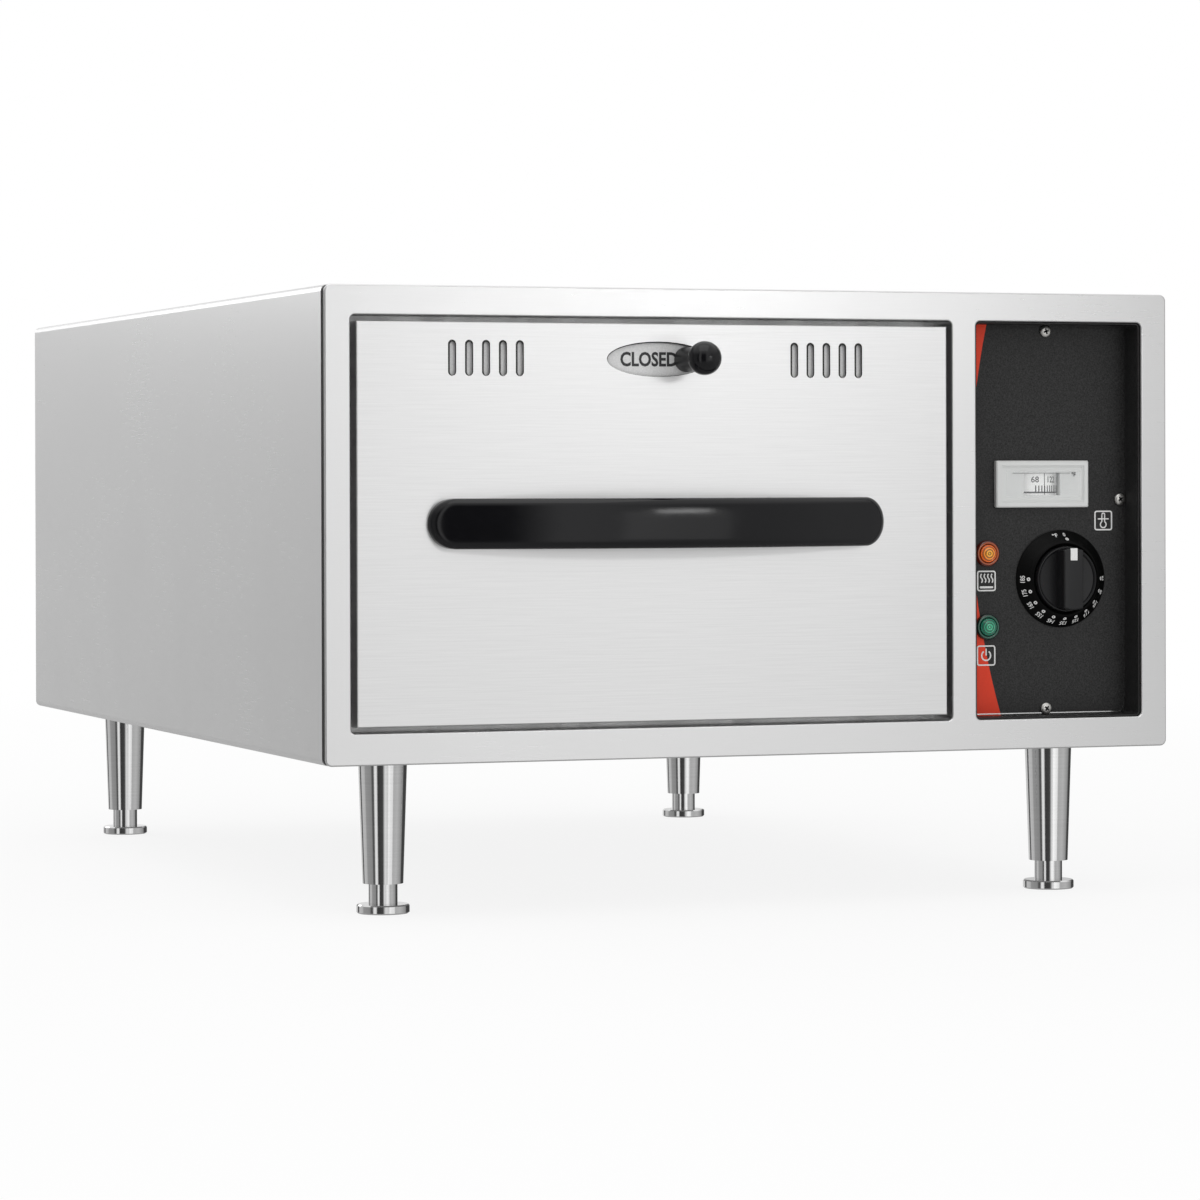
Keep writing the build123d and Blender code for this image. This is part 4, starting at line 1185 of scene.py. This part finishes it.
add_piece("accent_stripe", accent_stripe(), "cabinet", vermilion)

# %% [markdown]
# ## Floor, light and surroundings
#
# Bright metal shows what is round it more than its own colour. A plain white room would make the legs
# look like paper tubes, so the world is banded: pale walls with a few darker panels between them, as in a
# product studio. Matt surfaces get an even light, and the camera sees plain white. The floor is pale and
# takes a soft shadow.

# %% Floor
def floor_finish():
    """Pale floor. It lightens its own shadow for the camera, and mirror reflections leave it out."""
    plain = Finish("pale_floor", Roughness=0.9)
    cloud = plain.noise((3.0, 3.0, 3.0))
    plain.set(Base_Color=plain.blend(cloud, grey(0.90), grey(0.93)))
    output = plain.tree.nodes["Material Output"]
    surface = Signal(plain, plain.shader.outputs[0])
    white = plain.node("ShaderNodeEmission", {}, {"Color": grey(1.0), "Strength": 1.0})
    seen = plain.ray("Camera")
    mirrored = plain.ray("Glossy")
    away = plain.node("ShaderNodeVectorMath", {"operation": "LENGTH"}, {0: plain.place}, output="Value")
    far = plain.from_to(away, 0.7, 2.4)
    lightened = plain.node("ShaderNodeMixShader", {}, {0: seen * (far * 0.14 + 0.86), 1: surface, 2: white})
    clear = plain.node("ShaderNodeBsdfTransparent")
    shown = plain.node("ShaderNodeMixShader", {}, {0: mirrored, 1: lightened, 2: clear})
    plain.feed(output.inputs["Surface"], shown)
    return plain


floor_mesh = bpy.data.meshes.new("floor")
floor_bm = bmesh.new()
bmesh.ops.create_grid(floor_bm, x_segments=2, y_segments=2, size=14.0)
floor_bm.to_mesh(floor_mesh)
floor_bm.free()
floor_mesh.materials.append(floor_finish().material)
floor = linked("floor", floor_mesh)
print("floor made")

# %% Lamps
def soft_lamp(name, place, target, width, height, brightness):
    """Flat lamp. Brightness is that of its face, where 1 is plain white."""
    data = bpy.data.lights.new(name, "AREA")
    data.shape = "RECTANGLE"
    data.size, data.size_y = width, height
    data.energy = brightness * pi * width * height
    lamp = linked(name, data)
    lamp.location = place
    lamp.rotation_euler = (Vector(target) - Vector(place)).to_track_quat("-Z", "Y").to_euler()


soft_lamp("overhead", (-0.4, -0.8, 2.4), (0.0, 0.0, 0.2), 2.0, 2.0, 0.75)
soft_lamp("front_softbox", (0.75, -2.6, 0.12), (-0.06, -0.36, 0.2), 1.1, 1.1, 0.45)
soft_lamp("strip_key", (0.74, -2.4, 0.62), (-0.06, -0.36, 0.25), 0.5, 0.12, 7.0)
soft_lamp("side_softbox", (-1.1, 1.9, 1.0), (-0.27, 0.2, 0.25), 1.0, 1.0, 1.6)

# %% World
def band(degrees, value):
    """A stop of the world's ramp, for a direction in degrees from the front towards the right."""
    return ((degrees + 180.0) / 360.0, grey(value))


world = bpy.data.worlds.new("studio")
bpy.context.scene.world = world
world.use_nodes = True
world.node_tree.nodes.clear()
studio = Graph(world.node_tree)
direction = studio.node("ShaderNodeTexCoord", output="Generated")
east, north, up = (studio.node("ShaderNodeSeparateXYZ", {}, {0: direction}, output=i) for i in range(3))
turn = studio.maths("ARCTAN2", east, 0 - north) / tau + 0.5
walls_seen = [(-180, 0.62), (-161, 0.62), (-157, 0.08), (-146, 0.08), (-140, 0.66), (-116, 0.60),
              (-110, 0.38), (-76, 0.32), (-70, 0.10), (-62, 0.10), (-57, 1.0), (-47, 1.0),
              (-42, 0.05), (-16, 0.07), (-6, 0.92), (6, 0.82), (22, 0.60), (34, 0.54),
              (60, 0.60), (96, 0.34), (104, 0.06), (146, 0.08), (152, 0.62), (180, 0.62)]
bands = [band(degrees, value) for degrees, value in walls_seen]
walls = studio.node("ShaderNodeValToRGB", {"stops": bands}, {"Fac": turn})
overhead = studio.from_to(up, 0.35, 0.7)
below = studio.from_to(up, -0.25, -0.6)
rise = studio.from_to(up, -0.3, 0.3)
behind = studio.from_to(north, 0.90, 0.95)
graded = studio.blend(behind, walls, studio.blend(rise, grey(0.60), grey(1.0)))
high = studio.blend(overhead, graded, grey(1.0))
mirrored = studio.blend(below, high, grey(0.42))
glossy = studio.ray("Glossy")
seen = studio.ray("Camera")
shown = studio.blend(seen, studio.blend(glossy, grey(0.78), mirrored), grey(1.0))
background = studio.node("ShaderNodeBackground", {}, {"Color": shown, "Strength": 1.0})
world_output = world.node_tree.nodes.new("ShaderNodeOutputWorld")
studio.feed(world_output.inputs["Surface"], background)
print("world bands:", len(bands))

# %% [markdown]
# ## Box corners
#
# A last helper turns box corners into plain lists of numbers. The visual model must stay inside the
# CAD model's box.

# %% Box corners as numbers
def plain(corners):
    return [[float(c) for c in corner] for corner in corners]
